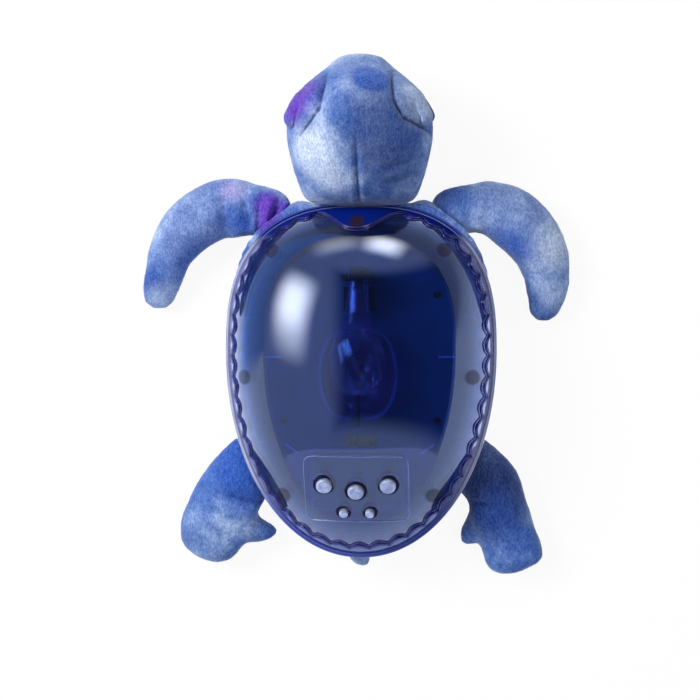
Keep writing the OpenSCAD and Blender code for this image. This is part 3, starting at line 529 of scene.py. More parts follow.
def spun(name, outline, axis_z, steps):
    """A turned piece: the outline is pairs of y and radius."""
    piece = laid_line(name, [Vector((radius, y, axis_z)) for y, radius in outline])
    open_up(piece)
    bpy.ops.mesh.select_mode(type="VERT")
    bpy.ops.mesh.select_all(action="SELECT")
    bpy.ops.mesh.spin(steps=steps, angle=2 * math.pi, center=(0, 0, axis_z), axis=(0, 1, 0))
    close()
    clean(piece)
    return piece


outline = [egg_point(degrees, DOME_INSET) for degrees in range(-90, 91, 2)]
dome = spun("clear_dome", [(y, math.hypot(x, dome_sink)) for x, y in outline], dome_axis_z, 144)
cut(dome, RIM_Z, clear_inner=True)
modify(dome, "SOLIDIFY", thickness=DOME_WALL, offset=-1, use_even_offset=True)
print("dome", len(dome.data.polygons), "faces")

# %% [markdown]
# ## The button panel
# Five buttons come through holes at the back of the dome. Their frame lies square to the skin. The travel
# of a button is its joint's axis, so the frame's own record says which way the panel faces.

# %% Button places and holes
PANEL_Y = -76 * MM
BIG_BUTTON = 10.6 * MM
SMALL_BUTTON = 6 * MM
BUTTON_GAP = 0.9 * MM
hinges = {joint["name"]: joint for joint in frame["record"]["behaviour"]["joints"]}
panel_out = -Vector(hinges["left_button_press"]["axis"]).normalized()
panel_up = Vector((0, panel_out.z, -panel_out.y))
panel_place = Vector((0, PANEL_Y, dome_height(0, PANEL_Y, DOME_INSET)))
BUTTONS = {
    "left_button": (-20.7 * MM, 8.6 * MM, BIG_BUTTON),
    "middle_button": (0.0, 5.7 * MM, BIG_BUTTON),
    "right_button": (20.7 * MM, 8.6 * MM, BIG_BUTTON),
    "small_left_button": (-8.6 * MM, -11.8 * MM, SMALL_BUTTON),
    "small_right_button": (8.6 * MM, -11.8 * MM, SMALL_BUTTON),
}
panel_turn = panel_out.to_track_quat("Z", "Y")


def panel_point(across, up, out=0.0):
    return panel_place + Vector((across, 0, 0)) + panel_up * up + panel_out * out


def skin_out(across, up):
    """How far the dome's skin lies out from the panel's plane at a button."""
    out = 0.0
    for _ in range(12):
        point = panel_point(across, up, out)
        out += (dome_height(point.x, point.y, DOME_INSET) - point.z) * panel_out.z
    return out


for across, up, width in BUTTONS.values():
    let_go()
    bpy.ops.mesh.primitive_cylinder_add(
        vertices=48, radius=width / 2 + BUTTON_GAP, depth=30 * MM,
        location=panel_point(across, up), rotation=panel_turn.to_euler(),
    )
    cutter = bpy.context.object
    modify(dome, "BOOLEAN", object=cutter, operation="DIFFERENCE", solver="EXACT")
    bpy.data.objects.remove(cutter)
settle(dome, 30)
print("five holes cut")

# %% [markdown]
# ## Clear tinted plastic
# Light has to get into the dome and out again, so its finish is a coloured Transparent shader under a
# mirror coat. A Fresnel node would treat the wall's inner face as the inside of solid glass and turn it
# into a full mirror, so the share of the coat is worked out from the Facing value, the same on both
# faces: 4 in 100 seen straight on and all of it at a glance. Faint milkiness keeps it from looking like
# empty air. Over a thick post the wall is darker and duller, so the dome has a dark spot over each screw.
# A zone along y can have a colour of its own, as the band has at the tail. At the nape the band's deep
# blue is partly its own colour and partly painted shade under the head.

# %% Places of the screws
BOSS_ANGLES = (90, 47, 133, -8, 188, -50, 230)
BOSS_INSET = 15.5 * MM
BOSS_RADIUS = 4 * MM
BOSS_WALL = 2.4 * MM
SINK_RADIUS = 5 * MM
SINK_DARK = tone(40, 30, 52)
boss_places = [egg_point(degrees, BOSS_INSET) for degrees in BOSS_ANGLES]
print(len(boss_places), "screws round the rim")


# %% Clear finishes
def sinks(finish, places):
    """1 over each place of the plan, 0 elsewhere."""
    flat = finish.vector("MULTIPLY", finish.place, (1, 1, 0))
    spot = 0.0
    for x, y in places:
        spot = spot + finish.near((x, y, 0), SINK_RADIUS, MM, flat)
    return spot


def clear_plastic(name, tint, haze, milk, rough=0.03, shine=0.04, edge=0.0, places=(), zones=()):
    finish = Finish(name)
    cloud = finish.between(finish.noise(0.05, 3.0), 0.35, 0.75)
    dust = finish.between(finish.noise(0.0012, 2.0), 0.62, 0.8)
    through = finish.node("BsdfTransparent", {}, {"Color": tint})
    pale = finish.mix(cloud, haze, scaled(haze, 0.8))
    glance = finish.node("LayerWeight", {}, {"Blend": 0.5}, "Facing")
    # The edge term is a painted highlight: the plastic turns milkier at a glance, so outlines look lit
    share = milk * (0.7 + 0.6 * cloud + 1.2 * dust) + edge * glance**3
    coat = shine + (1 - shine) * glance**5
    for start, end, deep, more, matt in zones:
        here = finish.between(finish.axis("Y"), start, end)
        pale = finish.mix(here, pale, deep)
        share = share + more * here
        coat = coat * (1 - matt * here)
    if places:
        spot = sinks(finish, places)
        share = share + 0.5 * spot
        coat = coat * (1 - 0.5 * spot)
        pale = finish.mix(spot, pale, SINK_DARK)
    body = finish.surface(pale, 0.4, {"Specular IOR Level": 0.0})
    mirror = finish.surface(WHITE, rough + 0.05 * dust, {"Metallic": 1.0})
    return finish.done(finish.layer(coat, finish.layer(share, through, body), mirror))


dome_blue = clear_plastic(
    "dome_blue_clear", (0.42, 0.54, 0.78, 1), tone(50, 74, 160), 0.02, places=boss_places
)
boss_smoke = clear_plastic("boss_smoke_clear", (0.1, 0.08, 0.1, 1), tone(34, 24, 40), 0.9)
# Along y: where a zone starts and is full, its colour, the milkiness it adds and the gloss it takes
# At the nape the deep blue is partly the band's own colour and partly painted shade under the head
NAPE_SHADED_ZONE = (88 * MM, 100 * MM, tone(6, 30, 116), 0.6, 0.93)
TAIL_ZONE = (-50 * MM, -100 * MM, tone(56, 72, 154), 0.4, 0.6)
band_lilac = clear_plastic(
    "band_lilac_clear", (0.8, 0.82, 0.94, 1), tone(160, 166, 206), 0.42,
    places=boss_places, zones=(NAPE_SHADED_ZONE, TAIL_ZONE),
)
bead_violet = clear_plastic("bead_violet_clear", (0.26, 0.24, 0.7, 1), tone(40, 36, 130), 0.55, 0.05)
lip_lilac = clear_plastic(
    "lip_lilac_clear", (0.88, 0.89, 0.96, 1), tone(200, 204, 226), 0.75, zones=(NAPE_SHADED_ZONE, TAIL_ZONE)
)
# The drum's plastic gets a painted highlight along its outlines through the edge term
lilac_clear = clear_plastic("lilac_clear", (0.8, 0.66, 0.84, 1), tone(150, 112, 176), 0.15, 0.04, 0.06, 0.6)
cradle_edge = clear_plastic("cradle_edge_clear", (0.85, 0.88, 0.98, 1), tone(116, 136, 214), 0.6)
wear(dome, "shell", "dome_blue", dome_blue, "dome")

# %% [markdown]
# ## Bosses under the dome
# Seven posts hang from the dome round its edge, and the case screws reach up into them. Each is a cylinder
# that ends under the lowest part of the wall above it, with a bore from below.


# %% Screw bosses
def boss_at(x, y):
    round_it = [math.radians(turn) for turn in range(0, 360, 15)]
    edge = [(x + BOSS_RADIUS * math.cos(turn), y + BOSS_RADIUS * math.sin(turn)) for turn in round_it]
    top = min(dome_height(*place, DOME_INSET + DOME_WALL) for place in edge)
    let_go()
    bpy.ops.mesh.primitive_cylinder_add(
        vertices=40, radius=BOSS_RADIUS, depth=top - RIM_Z, location=(x, y, (top + RIM_Z) / 2)
    )
    post = named("boss")
    open_up(post)
    pick_faces(post, lambda face: face.normal.z < -0.9)
    bpy.ops.mesh.inset(thickness=BOSS_WALL)
    extrude(0.6 * (top - RIM_Z))
    close()
    modify(post, "BEVEL", width=0.4 * MM, segments=2, limit_method="ANGLE")
    return post


bosses = joined("dome_bosses", [boss_at(x, y) for x, y in boss_places])
settle(bosses)
wear(bosses, "shell", "dome_blue", boss_smoke)

# %% [markdown]
# ## The scalloped band
# Round the foot of the dome runs a band whose inner edge is a row of small lobes, with one large wave at
# the nape. It could be cut from a thick shell, but a strip is cleaner: a circle of points is laid along
# the rim, extruded inwards ring by ring onto the dome's skin, and thickened. A bead and a finer second line
# follow its edge. Towards the tail the band is deeper in colour, and at the nape its deep blue is partly
# its own colour and partly painted shade under the head.

# %% Scallop line
RIM_LIP = 2.2 * MM
LOBE_LOW = 4.2 * MM
LOBE_RISE = 2.8 * MM
TAIL_MORE = 2.6 * MM
LOBES_EACH_SIDE = 21.5
NAPE_SPAN = 14
NAPE_RISE = 15.5 * MM
rim_way = [0.0]
for turn in range(180):
    here, there = Vector(egg_point(90 + turn, 0)), Vector(egg_point(91 + turn, 0))
    rim_way.append(rim_way[-1] + (there - here).length)
lobe_pitch = (rim_way[180] - rim_way[NAPE_SPAN]) / LOBES_EACH_SIDE


def way_to(off):
    low = min(int(off), 179)
    return rim_way[low] + (rim_way[low + 1] - rim_way[low]) * (off - low)


def lobe_inset(degrees):
    """How far the band's inner edge lies inside the rim, at a turn from the right side."""
    off = abs((degrees - 90 + 180) % 360 - 180)
    if off < NAPE_SPAN:
        return LOBE_LOW + NAPE_RISE * (0.5 + 0.5 * math.cos(math.pi * off / NAPE_SPAN))
    lobe = abs(math.sin(math.pi * (way_to(off) - rim_way[NAPE_SPAN]) / lobe_pitch))
    return LOBE_LOW + TAIL_MORE * max(0.0, off / 90 - 1) ** 2 + LOBE_RISE * lobe


def skin_point(degrees, inset, lift):
    x, y = egg_point(degrees, inset)
    return Vector((x, y, dome_height(x, y, DOME_INSET) + lift))


# %% Band and bead
BAND_POINTS = 1080
BAND_RINGS = 5
BAND_THICK = 1.3 * MM


def laid_circle(name, points):
    """A closed line of points, laid out one by one."""
    let_go()
    bpy.ops.mesh.primitive_circle_add(vertices=len(points), radius=HALF_WIDTH)
    piece = named(name)
    for vertex, point in zip(piece.data.vertices, points):
        vertex.co = point
    return piece


def roll(piece, radius):
    """Turns a line of points into a round bead."""
    take(piece)
    bpy.ops.object.convert(target="CURVE")
    piece.data.bevel_depth = radius
    piece.data.bevel_resolution = 3
    bpy.ops.object.convert(target="MESH")
    clean(piece)
    settle(piece, 180)
    return piece


turns = [360 * k / BAND_POINTS for k in range(BAND_POINTS)]
edge = [lobe_inset(degrees) for degrees in turns]
band = laid_circle("scallop_band", [skin_point(t, RIM_LIP + 1.2 * MM, 0) for t in turns])
for ring in range(1, BAND_RINGS + 1):
    share = ring / BAND_RINGS
    open_edges(band)
    bpy.ops.mesh.extrude_edges_move(TRANSFORM_OT_translate={"value": (0, 0, 0)})
    close()
    start = DOME_INSET + 0.05 * MM
    moving = [vertex for vertex in band.data.vertices if vertex.select]
    for vertex, degrees, inset in zip(moving, turns, edge):
        vertex.co = skin_point(degrees, start + (inset - start) * share, 0.1 * MM)
clean(band)
modify(band, "SOLIDIFY", thickness=BAND_THICK, offset=1, use_even_offset=False)
settle(band, 35)
wear(band, "shell", "bezel_blue", band_lilac, "scallop_bezel")

BEADS = {"scallop_bead": (0.0, 0.65 * MM), "inner_scallop_bead": (1.9 * MM, 0.38 * MM)}
for name, (further_in, radius) in BEADS.items():
    line = [skin_point(t, e + further_in, 0.9 * MM) for t, e in zip(turns, edge)]
    wear(roll(laid_circle(name, line), radius), "shell", "bezel_blue", bead_violet)

# %% [markdown]
# ## The rim
# Under the band the base tray's flange stands out all round. Its solid has a sharp edge, so a half-round
# lip is laid over it. The tray and other opaque pieces are of plain moulded plastic.

# %% Rim lip
LIP_RADIUS = 1.45 * MM
lip_line = [Vector((*egg_point(t, 0.9 * MM), RIM_Z - 1.25 * MM)) for t in turns[::3]]
wear(roll(laid_circle("rim_roll", lip_line), LIP_RADIUS), "shell", "tray_blue", lip_lilac)

# %% Moulded finishes
TICK_BLUE = tone(112, 146, 220)
UNEVEN = 0.12


def moulded(name, colour, rough=0.4, grain=0.0006, depth=0.00006, pale_above=None, shine=0.5):
    """Plain moulded plastic: fine grain, a little unevenness in colour and gloss, paler above a height."""
    finish = Finish(name)
    cloud = finish.between(finish.noise(0.018, 3.0), 0.3, 0.7)
    fine = finish.noise(grain, 3.0)
    shade = finish.mix(cloud, scaled(colour, 1 - UNEVEN), scaled(colour, 1 + UNEVEN))
    if pale_above:
        raised = finish.between(finish.axis("Z"), pale_above - MM, pale_above)
        shade = finish.mix(raised, shade, TICK_BLUE)
    bump = finish.bump(fine, depth, 0.5)
    more = {"Normal": bump, "Specular IOR Level": shine}
    return finish.done(finish.surface(shade, rough + 0.15 * (fine - 0.5), more))


# %% [markdown]
# ## The ripple drum and its cradle
# In the middle lies a clear bottle-shaped drum with a rippled wall, in an oval trough. Both are turned
# pieces, so the same spin makes them. The drum's ripples are vertex moves that grow with its radius.

# %% Drum and cradle
drum_low, drum_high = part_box("wave_drum")
drum_axis_z = (drum_low.z + drum_high.z) / 2
DRUM_RADIUS = 19 * MM
DRUM_HALF = 26 * MM
NECK_BASE = 9.5 * MM
NECK_TIP = 6 * MM
NECK_BORE = 3 * MM
RIPPLE = 1.1 * MM
CRADLE_RADIUS = 26.5 * MM
CRADLE_MIDDLE = 4.5 * MM
CRADLE_HALF = 30.5 * MM
cradle_top = drum_axis_z - 3 * MM


def oval(middle, half, radius, power, start, end):
    """Pairs of y and radius along an oval, every 5 degrees from start to end."""
    angles = [math.radians(degrees) for degrees in range(start, end + 1, 5)]
    return [(middle + half * math.sin(a), radius * math.cos(a) ** power) for a in angles]


bottle = oval(drum_low.y + DRUM_HALF, DRUM_HALF, DRUM_RADIUS, 0.75, -90, 50) + [
    (drum_low.y + 2 * DRUM_HALF + MM, NECK_BASE),
    (drum_high.y - 2 * MM, NECK_TIP),
    (drum_high.y, NECK_TIP),
    (drum_high.y, NECK_BORE),
    (drum_high.y - 6 * MM, NECK_BORE),
]
drum = spun("ripple_drum", bottle, drum_axis_z, 96)
for vertex in drum.data.vertices:
    out = Vector((vertex.co.x, 0, vertex.co.z - drum_axis_z))
    turn = math.atan2(out.x, out.z)
    swell = max(0.0, out.length / DRUM_RADIUS - 0.55)
    wave = math.sin(9 * turn + 260 * vertex.co.y) + 0.6 * math.sin(5 * turn - 420 * vertex.co.y)
    vertex.co -= out.normalized() * swell * (1.1 + wave) * RIPPLE
settle(drum, 60)
wear(drum, "drum", "clear_lilac", lilac_clear, "wave_drum")

bowl = oval(CRADLE_MIDDLE, CRADLE_HALF, CRADLE_RADIUS, 0.6, -85, 85)
cradle = spun("oval_cradle", bowl, drum_axis_z, 96)
cut(cradle, cradle_top, clear_outer=True)
modify(cradle, "SOLIDIFY", thickness=2 * MM, offset=-1)
modify(cradle, "BEVEL", width=0.6 * MM, segments=3, limit_method="ANGLE", angle_limit=math.radians(60))
settle(cradle, 40)
wear(cradle, "shell", "clear_lilac", lilac_clear, "lamp_cradle")
cradle.data.materials.append(cradle_edge)
for face in cradle.data.polygons:
    face.material_index = int(face.center.z > cradle_top - MM)

# %% [markdown]
# ## The buttons
# Each button is a silvery cap on a stem, with a lip behind the dome's wall. A cylinder is the start: its
# top is bevelled round and dished by two insets, and its foot is extruded into the lip and the stem. A dark
# ring at the edge of each hole is painted shade, standing for the shadow in the gap round the button, and a
# fine raised line on the dome frames the panel.

# %% Button caps
BUTTON_PROUD = 3 * MM
LIP_MORE = 1.6 * MM
LIP_BELOW = 3.2 * MM
LIP_THICK = 1.2 * MM
STEM_RADIUS = 2 * MM
STEM_LENGTH = 5 * MM


def button_cap(name, across, up, width):
    let_go()
    depth = BUTTON_PROUD + LIP_BELOW
    bpy.ops.mesh.primitive_cylinder_add(vertices=64, radius=width / 2, depth=depth)
    cap = named(name.replace("button", "cap"))
    open_up(cap)
    pick_faces(cap, lambda face: face.normal.z > 0.9)
    bpy.ops.mesh.bevel(offset=0.16 * width, segments=5, affect="EDGES")
    pick_faces(cap, lambda face: face.normal.z > 0.999)
    bpy.ops.mesh.inset(thickness=0.05 * width)
    for sink in (0.02, 0.015):
        bpy.ops.mesh.inset(thickness=0.1 * width)
        bpy.ops.transform.translate(value=(0, 0, -sink * width))
    pick_faces(cap, lambda face: face.normal.z < -0.9)
    extrude(0)
    wider = 1 + 2 * LIP_MORE / width
    bpy.ops.transform.resize(value=(wider, wider, 1))
    extrude(-LIP_THICK)
    bpy.ops.mesh.inset(thickness=width / 2 + LIP_MORE - STEM_RADIUS)
    extrude(-STEM_LENGTH)
    close()
    middle = panel_point(across, up, skin_out(across, up) + BUTTON_PROUD - depth / 2)
    cap.matrix_world = Matrix.LocRotScale(middle, panel_turn, None)
    settle(cap, 50)
    return cap


def silvered(name):
    """Silvery painted plastic with a fine brushed grain."""
    finish = Finish(name)
    fine = finish.noise(0.0005, 3.0)
    cloud = finish.noise(0.004, 2.0)
    colour = finish.mix(finish.between(cloud, 0.3, 0.7), tone(118, 126, 154), tone(164, 171, 194))
    more = {"Metallic": 0.15 + 0.1 * cloud, "Normal": finish.bump(fine, 0.00003, 0.4)}
    return finish.done(finish.surface(colour, 0.34 + 0.1 * fine, more))


button_silver = silvered("button_silver_paint")
for name, (across, up, width) in BUTTONS.items():
    wear(button_cap(name, across, up, width), name, "button_silver", button_silver, name)

# %% Dark rings round the buttons, painted shade in the gaps
SHADE_RING_MORE = 1.25 * MM
SHADE_RING_THICK = 0.95 * MM
SHADE_RING_BELOW = 0.4 * MM
# Each ring is a dark torus that stands for the shade in the gap round a button
shade_rings = []
for across, up, width in BUTTONS.values():
    let_go()
    bpy.ops.mesh.primitive_torus_add(
        major_segments=64, minor_segments=12, major_radius=width / 2 + SHADE_RING_MORE, minor_radius=SHADE_RING_THICK,
        location=panel_point(across, up, skin_out(across, up) - SHADE_RING_BELOW), rotation=panel_turn.to_euler(),
    )
    shade_rings.append(bpy.context.object)
shade_ring = joined("button_gap_shade_rings", shade_rings)
settle(shade_ring, 180)
wear(shade_ring, "shell", "black_plastic", moulded("gap_shade_navy", tone(8, 10, 36), 0.6, shine=0.1))

# %% Raised line round the button panel
PANEL_HALF = 34 * MM
PANEL_CORNER = 5 * MM
PANEL_FRONT = -48 * MM
PANEL_REAR = -92 * MM


def panel_outline():
    """A rectangle with round corners, laid on the dome's skin."""
    middle = (PANEL_FRONT + PANEL_REAR) / 2
    reach = PANEL_HALF - PANEL_CORNER, (PANEL_FRONT - PANEL_REAR) / 2 - PANEL_CORNER
    corners = ((1, 1), (-1, 1), (-1, -1), (1, -1))
    plan = []
    for quarter, (right, ahead) in enumerate(corners):
        for step in range(0, 91, 15):
            turn = math.radians(90 * quarter + step)
            x = right * reach[0] + PANEL_CORNER * math.cos(turn)
            plan.append((x, middle + ahead * reach[1] + PANEL_CORNER * math.sin(turn)))
    points = []
    for here, there in zip(plan, plan[1:] + plan[:1]):
        steps = max(1, round(math.dist(here, there) / (2 * MM)))
        for k in range(steps):
            x, y = [a + (b - a) * k / steps for a, b in zip(here, there)]
            points.append(Vector((x, y, dome_height(x, y, DOME_INSET) + 0.1 * MM)))
    return points


panel_clear = clear_plastic("panel_line_clear", (0.8, 0.86, 0.98, 1), tone(110, 136, 200), 0.4)
panel_line = roll(laid_circle("panel_line", panel_outline()), 0.4 * MM)
wear(panel_line, "shell", "dome_blue", panel_clear)

# %% [markdown]
# ## Plush
# The cover is short-pile plush, dyed in soft patches of periwinkle, mid blue and deep blue, with a few
# lilac and violet places. Wide noise on Object coordinates makes the patches, so they run across seams as
# the dye does, and a list of places adds those that matter; a few of these places are also painted light
# and painted shade. The pile is fine noise, brushed a little one way with a Mapping node. It works as bump,
# and in colour as painted light: painted shade in the gaps between tufts and a painted highlight on their
# tips. Hollows along the folds get painted shade from Pointiness, which tells how sharply a surface turns
# in or out. A strong sheen gives velvet's pale edges.

# %% Plush finish
DYE_RAMP = [
    (0.0, tone(34, 78, 162)), (0.4, tone(68, 108, 180)),
    (0.75, tone(112, 142, 200)), (1.0, tone(160, 180, 220)),
]
PILE_GAP_SHADE = (0.56, 0.63, 0.76)
PILE_TIP_HIGHLIGHT = (1.32, 1.28, 1.16)


def plush(name):
    finish = Finish(name)
    wide = finish.noise(0.06, 3.0, roughness=0.55)
    patch = finish.noise(0.017, 4.0, roughness=0.66)
    slant = {"Vector": finish.place, "Rotation": (0.3, 0.2, math.radians(-40)), "Scale": (1, 0.5, 0.7)}
    brushed_way = finish.node("Mapping", {}, slant)
    pile = finish.noise(0.0011, 3.0, brushed_way, 0.75)
    tuft = finish.noise(0.0034, 3.0, brushed_way, 0.65)
    blend = finish.between(0.6 * wide + 0.4 * patch, 0.38, 0.62)
    colour = finish.node("ValToRGB", {"stops": DYE_RAMP}, {"Fac": blend})
    for *spot, radius, soft, dye_and_painted_light, strength in DYE_AND_PAINTED_LIGHT_PLACES:
        edge = finish.near(tuple(value * MM for value in spot), radius * MM, soft * MM)
        colour = finish.mix(edge * strength * (0.5 + patch), colour, dye_and_painted_light)
    # Painted light in the pile: painted shade in the gaps between tufts and a painted highlight on the tips
    lit = finish.between(0.75 * pile + 0.25 * tuft, 0.34, 0.68)
    deep = finish.vector("MULTIPLY", colour, PILE_GAP_SHADE)
    highlit_tips = finish.mix(0.06, finish.vector("MULTIPLY", colour, PILE_TIP_HIGHLIGHT), (0.8, 0.85, 0.97, 1))
    colour = finish.mix(lit, deep, highlit_tips)
    hollow = finish.node("NewGeometry", output="Pointiness")
    # Painted shade in the hollows of folds and seams, found by Pointiness
    colour = finish.mix(0.75 * finish.between(hollow, 0.495, 0.44), colour, CREASE_SHADE)
    bump = finish.bump(0.6 * pile + 0.4 * tuft, 0.0015, 0.8)
    return finish.done(finish.surface(colour, 0.85 + 0.1 * pile, {
        "Normal": bump, "Specular IOR Level": 0.12,
        "Sheen Weight": 0.6, "Sheen Roughness": 0.36, "Sheen Tint": (0.7, 0.82, 1, 1),
    }))


VIOLET = tone(94, 40, 174)
LILAC = tone(160, 152, 208)
ROYAL = tone(28, 82, 174)
NAVY = tone(28, 60, 128)
INK_DYE_AND_SHADE = tone(10, 44, 110)
PALE = tone(200, 214, 238)
CREASE_SHADE = tone(16, 30, 84)
# Each place holds its x, y, z, radius and softness in mm, its colour and its strength; most colours are
# dye, and the places marked below are also painted light and painted shade
DYE_AND_PAINTED_LIGHT_PLACES = [
    (-124, 112, 22, 34, 16, PALE, 0.2), (104, 110, 22, 36, 16, PALE, 0.25),
    # Painted light: these two pale places lift the right front flipper where it turns away from the left lamp
    (130, 92, 20, 15, 10, PALE, 0.8), (132, 60, 14, 12, 8, PALE, 0.4),
    (-112, 80, 18, 18, 12, ROYAL, 0.8), (98, 88, 30, 17, 10, ROYAL, 0.9),
    (66, 126, 30, 10, 6, ROYAL, 0.7), (-90, 131, 30, 9, 6, LILAC, 0.8),
    (-88, 108, 34, 9, 6, ROYAL, 0.6), (-64, 121, 34, 10, 6, VIOLET, 1.1),
    (-62, 106, 34, 11, 6, VIOLET, 1.1), (-52, 112, 28, 12, 6, VIOLET, 1.1),
    (-38, 186, 74, 17, 8, VIOLET, 0.95), (-140, 56, 14, 12, 8, PALE, 0.5),
    (50, 112, 36, 14, 8, ROYAL, 0.7), (-45, 115, 36, 12, 8, ROYAL, 0.6),
    (-30, 165, 84, 8, 6, ROYAL, 0.8), (40, 184, 80, 16, 6, PALE, 0.55),
    (10, 198, 86, 12, 6, ROYAL, 1.5), (-6, 206, 80, 14, 8, ROYAL, 0.6),
    (-8, 182, 98, 10, 8, ROYAL, 0.7), (14, 164, 96, 26, 14, NAVY, 0.8),
    # The pale places at (-30, 150, 84) and (-20, 130, 82) are partly dye and partly painted light on the
    # head's left
    (26, 136, 84, 20, 12, NAVY, 0.6), (-30, 150, 84, 16, 12, PALE, 1.2),
    (-20, 130, 82, 12, 10, PALE, 0.9), (-78, -62, 30, 26, 14, ROYAL, 1.2),
    (-112, -106, 24, 20, 14, PALE, 0.1), (88, -64, 28, 28, 14, NAVY, 0.9),
    # The ink place is partly dye and partly painted shade on the right rear flipper, away from the left lamp
    (90, -84, 30, 24, 12, INK_DYE_AND_SHADE, 1.1), (92, -90, 30, 16, 10, ROYAL, 0.4),
    (106, -112, 24, 18, 12, ROYAL, 0.5), (1, -128, 27, 14, 10, PALE, 0.4),
]
plush_blue = plush("tie_dyed_plush")

# %% [markdown]
# ## Stuffing
# Each stuffed piece starts as a copy of its solid. Voxel remesh gives it an even net of faces, then Cloth
# with pressure fills it as wadding does. No point may move further than a cap, so that the piece stays in
# the room its solid holds. After that a finer net takes the folds, which are lines on the plan: along each
# the surface is pressed in or raised. Last, a few places are pulled out by a small way, as one pulls the
# corners of a cushion.

# %% Fill and fold a piece
CLOTH = {
    "quality": 6, "mass": 0.2, "tension_stiffness": 12, "compression_stiffness": 12,
    "bending_stiffness": 0.3, "use_pressure": True, "uniform_pressure_force": 4.0,
}
CLOTH_FRAMES = 20
PILE_SIZE = 2.6 * MM


def netted(name, node, voxel):
    """A copy of a solid, in a new object at the origin, with an even net of faces."""
    piece = bpy.data.objects.new(name, frame["nodes"][node].data.copy())
    piece.data.name = name
    bpy.context.collection.objects.link(piece)
    clean(piece)
    piece.data.remesh_voxel_size = voxel
    bpy.ops.object.voxel_remesh()
    modify(piece, "SMOOTH", factor=0.5, iterations=4)
    return piece


def stuffed(name, node, voxel, cap, folds=()):
    piece = netted(name, node, voxel)
    fill(piece, cap)
    modify(piece, "SUBSURF", levels=2)
    for start, end, width, depth in folds:
        fold(piece, Vector(start) * MM, Vector(end) * MM, width * MM, depth * MM)
    return piece


def fill(piece, cap):
    start = [vertex.co.copy() for vertex in piece.data.vertices]
    take(piece)
    bpy.ops.object.modifier_add(type="CLOTH")
    modifier = piece.modifiers[-1]
    for key, value in CLOTH.items():
        setattr(modifier.settings, key, value)
    modifier.settings.effector_weights.gravity = 0
    modifier.point_cache.frame_end = CLOTH_FRAMES
    for step in range(1, CLOTH_FRAMES + 1):
        bpy.context.scene.frame_set(step)
    bpy.ops.object.modifier_apply(modifier=modifier.name)
    bpy.context.scene.frame_set(1)
    for vertex, before in zip(piece.data.vertices, start):
        move = vertex.co - before
        if move.length > cap:
            vertex.co = before + move * (cap / move.length)


def fold(piece, start, end, width, depth):
    """Presses a groove along a line seen from above, or raises a ridge where the depth is below zero."""
    way = end - start
    normals = [vertex.normal.copy() for vertex in piece.data.vertices]
    for vertex, normal in zip(piece.data.vertices, normals):
        spot = vertex.co.to_2d() - start
        along = max(0.0, min(1.0, spot.dot(way) / way.length_squared))
        off = (spot - way * along).length / width
        if normal.z > 0 and off < 3:
            taper = math.sin(math.pi * (0.15 + 0.7 * along)) * min(1.0, 3 * normal.z)
            vertex.co -= normal * depth * taper * math.exp(-off * off)


def pull(piece, x, y, radius, move_x, move_y):
    """Pulls the surface round a place of the plan sideways, with a soft edge."""
    for vertex in piece.data.vertices:
        off = math.hypot(vertex.co.x / MM - x, vertex.co.y / MM - y) / radius
        if off < 1:
            share = (1 - off * off) ** 2
            vertex.co += Vector((move_x, move_y, 0)) * share * MM


def brushed(piece, depth=0.6 * MM):
    """Gives the pile a little real relief."""
    texture = bpy.data.textures.new(piece.name + "_pile", "CLOUDS")
    texture.noise_scale = PILE_SIZE
    texture.noise_depth = 2
    modify(piece, "DISPLACE", texture=texture, strength=depth, mid_level=0.5, texture_coords="LOCAL")
    settle(piece, 180)


# %% [markdown]
# ## The head
# The head is one stuffed bag with a seam along the back of the neck. Near the neck it is drawn back a
# little to meet the shell. Two puffs are sewn on as sleepy eyelids, with the eyes in satin stitch under them.

# %% Head and lids
HEAD_FOLDS = [
    ((0, 158), (0, 118), 1.7, 1.9), ((-4, 157), (-4, 120), 1.6, -0.6),
    ((4, 157), (4, 120), 1.6, -0.6), ((20, 140), (38, 146), 2.0, 1.4),
    ((22, 131), (38, 136), 2.0, 1.5), ((8, 130), (22, 127), 2.0, 1.2),
    ((30, 152), (44, 152), 2.0, 1.0), ((-14, 196), (6, 206), 3.0, 0.9),
    ((-33, 194), (-37, 178), 8.0, -3.0), ((-21, 204), (-25, 178), 2.0, 3.2),
    ((-25, 178), (-38, 163), 2.0, 3.0), ((37, 194), (40, 180), 8.0, -3.0),
    ((23, 204), (25, 184), 2.0, 3.0), ((25, 184), (32, 172), 2.0, 3.4),
    ((32, 172), (50, 165), 2.0, 3.4),
]
NECK_SPAN = 12 * MM
NECK_REACH = 3.4 * MM
neck = Vector(hinges["head_nod"]["pos_m"])
head = stuffed("turtle_head", "head", 5 * MM, 5 * MM, HEAD_FOLDS)
for vertex in head.data.vertices:
    near_seam = max(0.0, 1 - (vertex.co.y - neck.y) / NECK_SPAN)
    vertex.co.y -= NECK_REACH * min(1.0, near_seam) ** 2
brushed(head)
wear(head, None, "plush_blue", plush_blue, "head")
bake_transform(head)
for side in ("left", "right"):
    lid = stuffed(f"{side}_lid", f"{side}_eyelid", 2.5 * MM, 2 * MM)
    brushed(lid, 0.4 * MM)
    wear(lid, "head", "plush_violet" if side == "left" else "plush_lilac", plush_blue, f"{side}_eyelid")


# %% Eyes, mouth and nostrils in thread
def thread(name, colour):
    """Satin stitch: fine strands side by side."""
    finish = Finish(name)
    lengthwise = finish.node("Mapping", {}, {"Vector": finish.place, "Scale": (1, 0.12, 0.12)})
    strand = finish.noise(0.0007, 2.0, lengthwise)
    shade = finish.mix(finish.between(strand, 0.3, 0.7), colour, scaled(colour, 2.2, 0.01))
    bump = finish.bump(strand, 0.0004, 0.8)
    return finish.done(finish.surface(shade, 0.3 + 0.3 * strand, {"Normal": bump}))


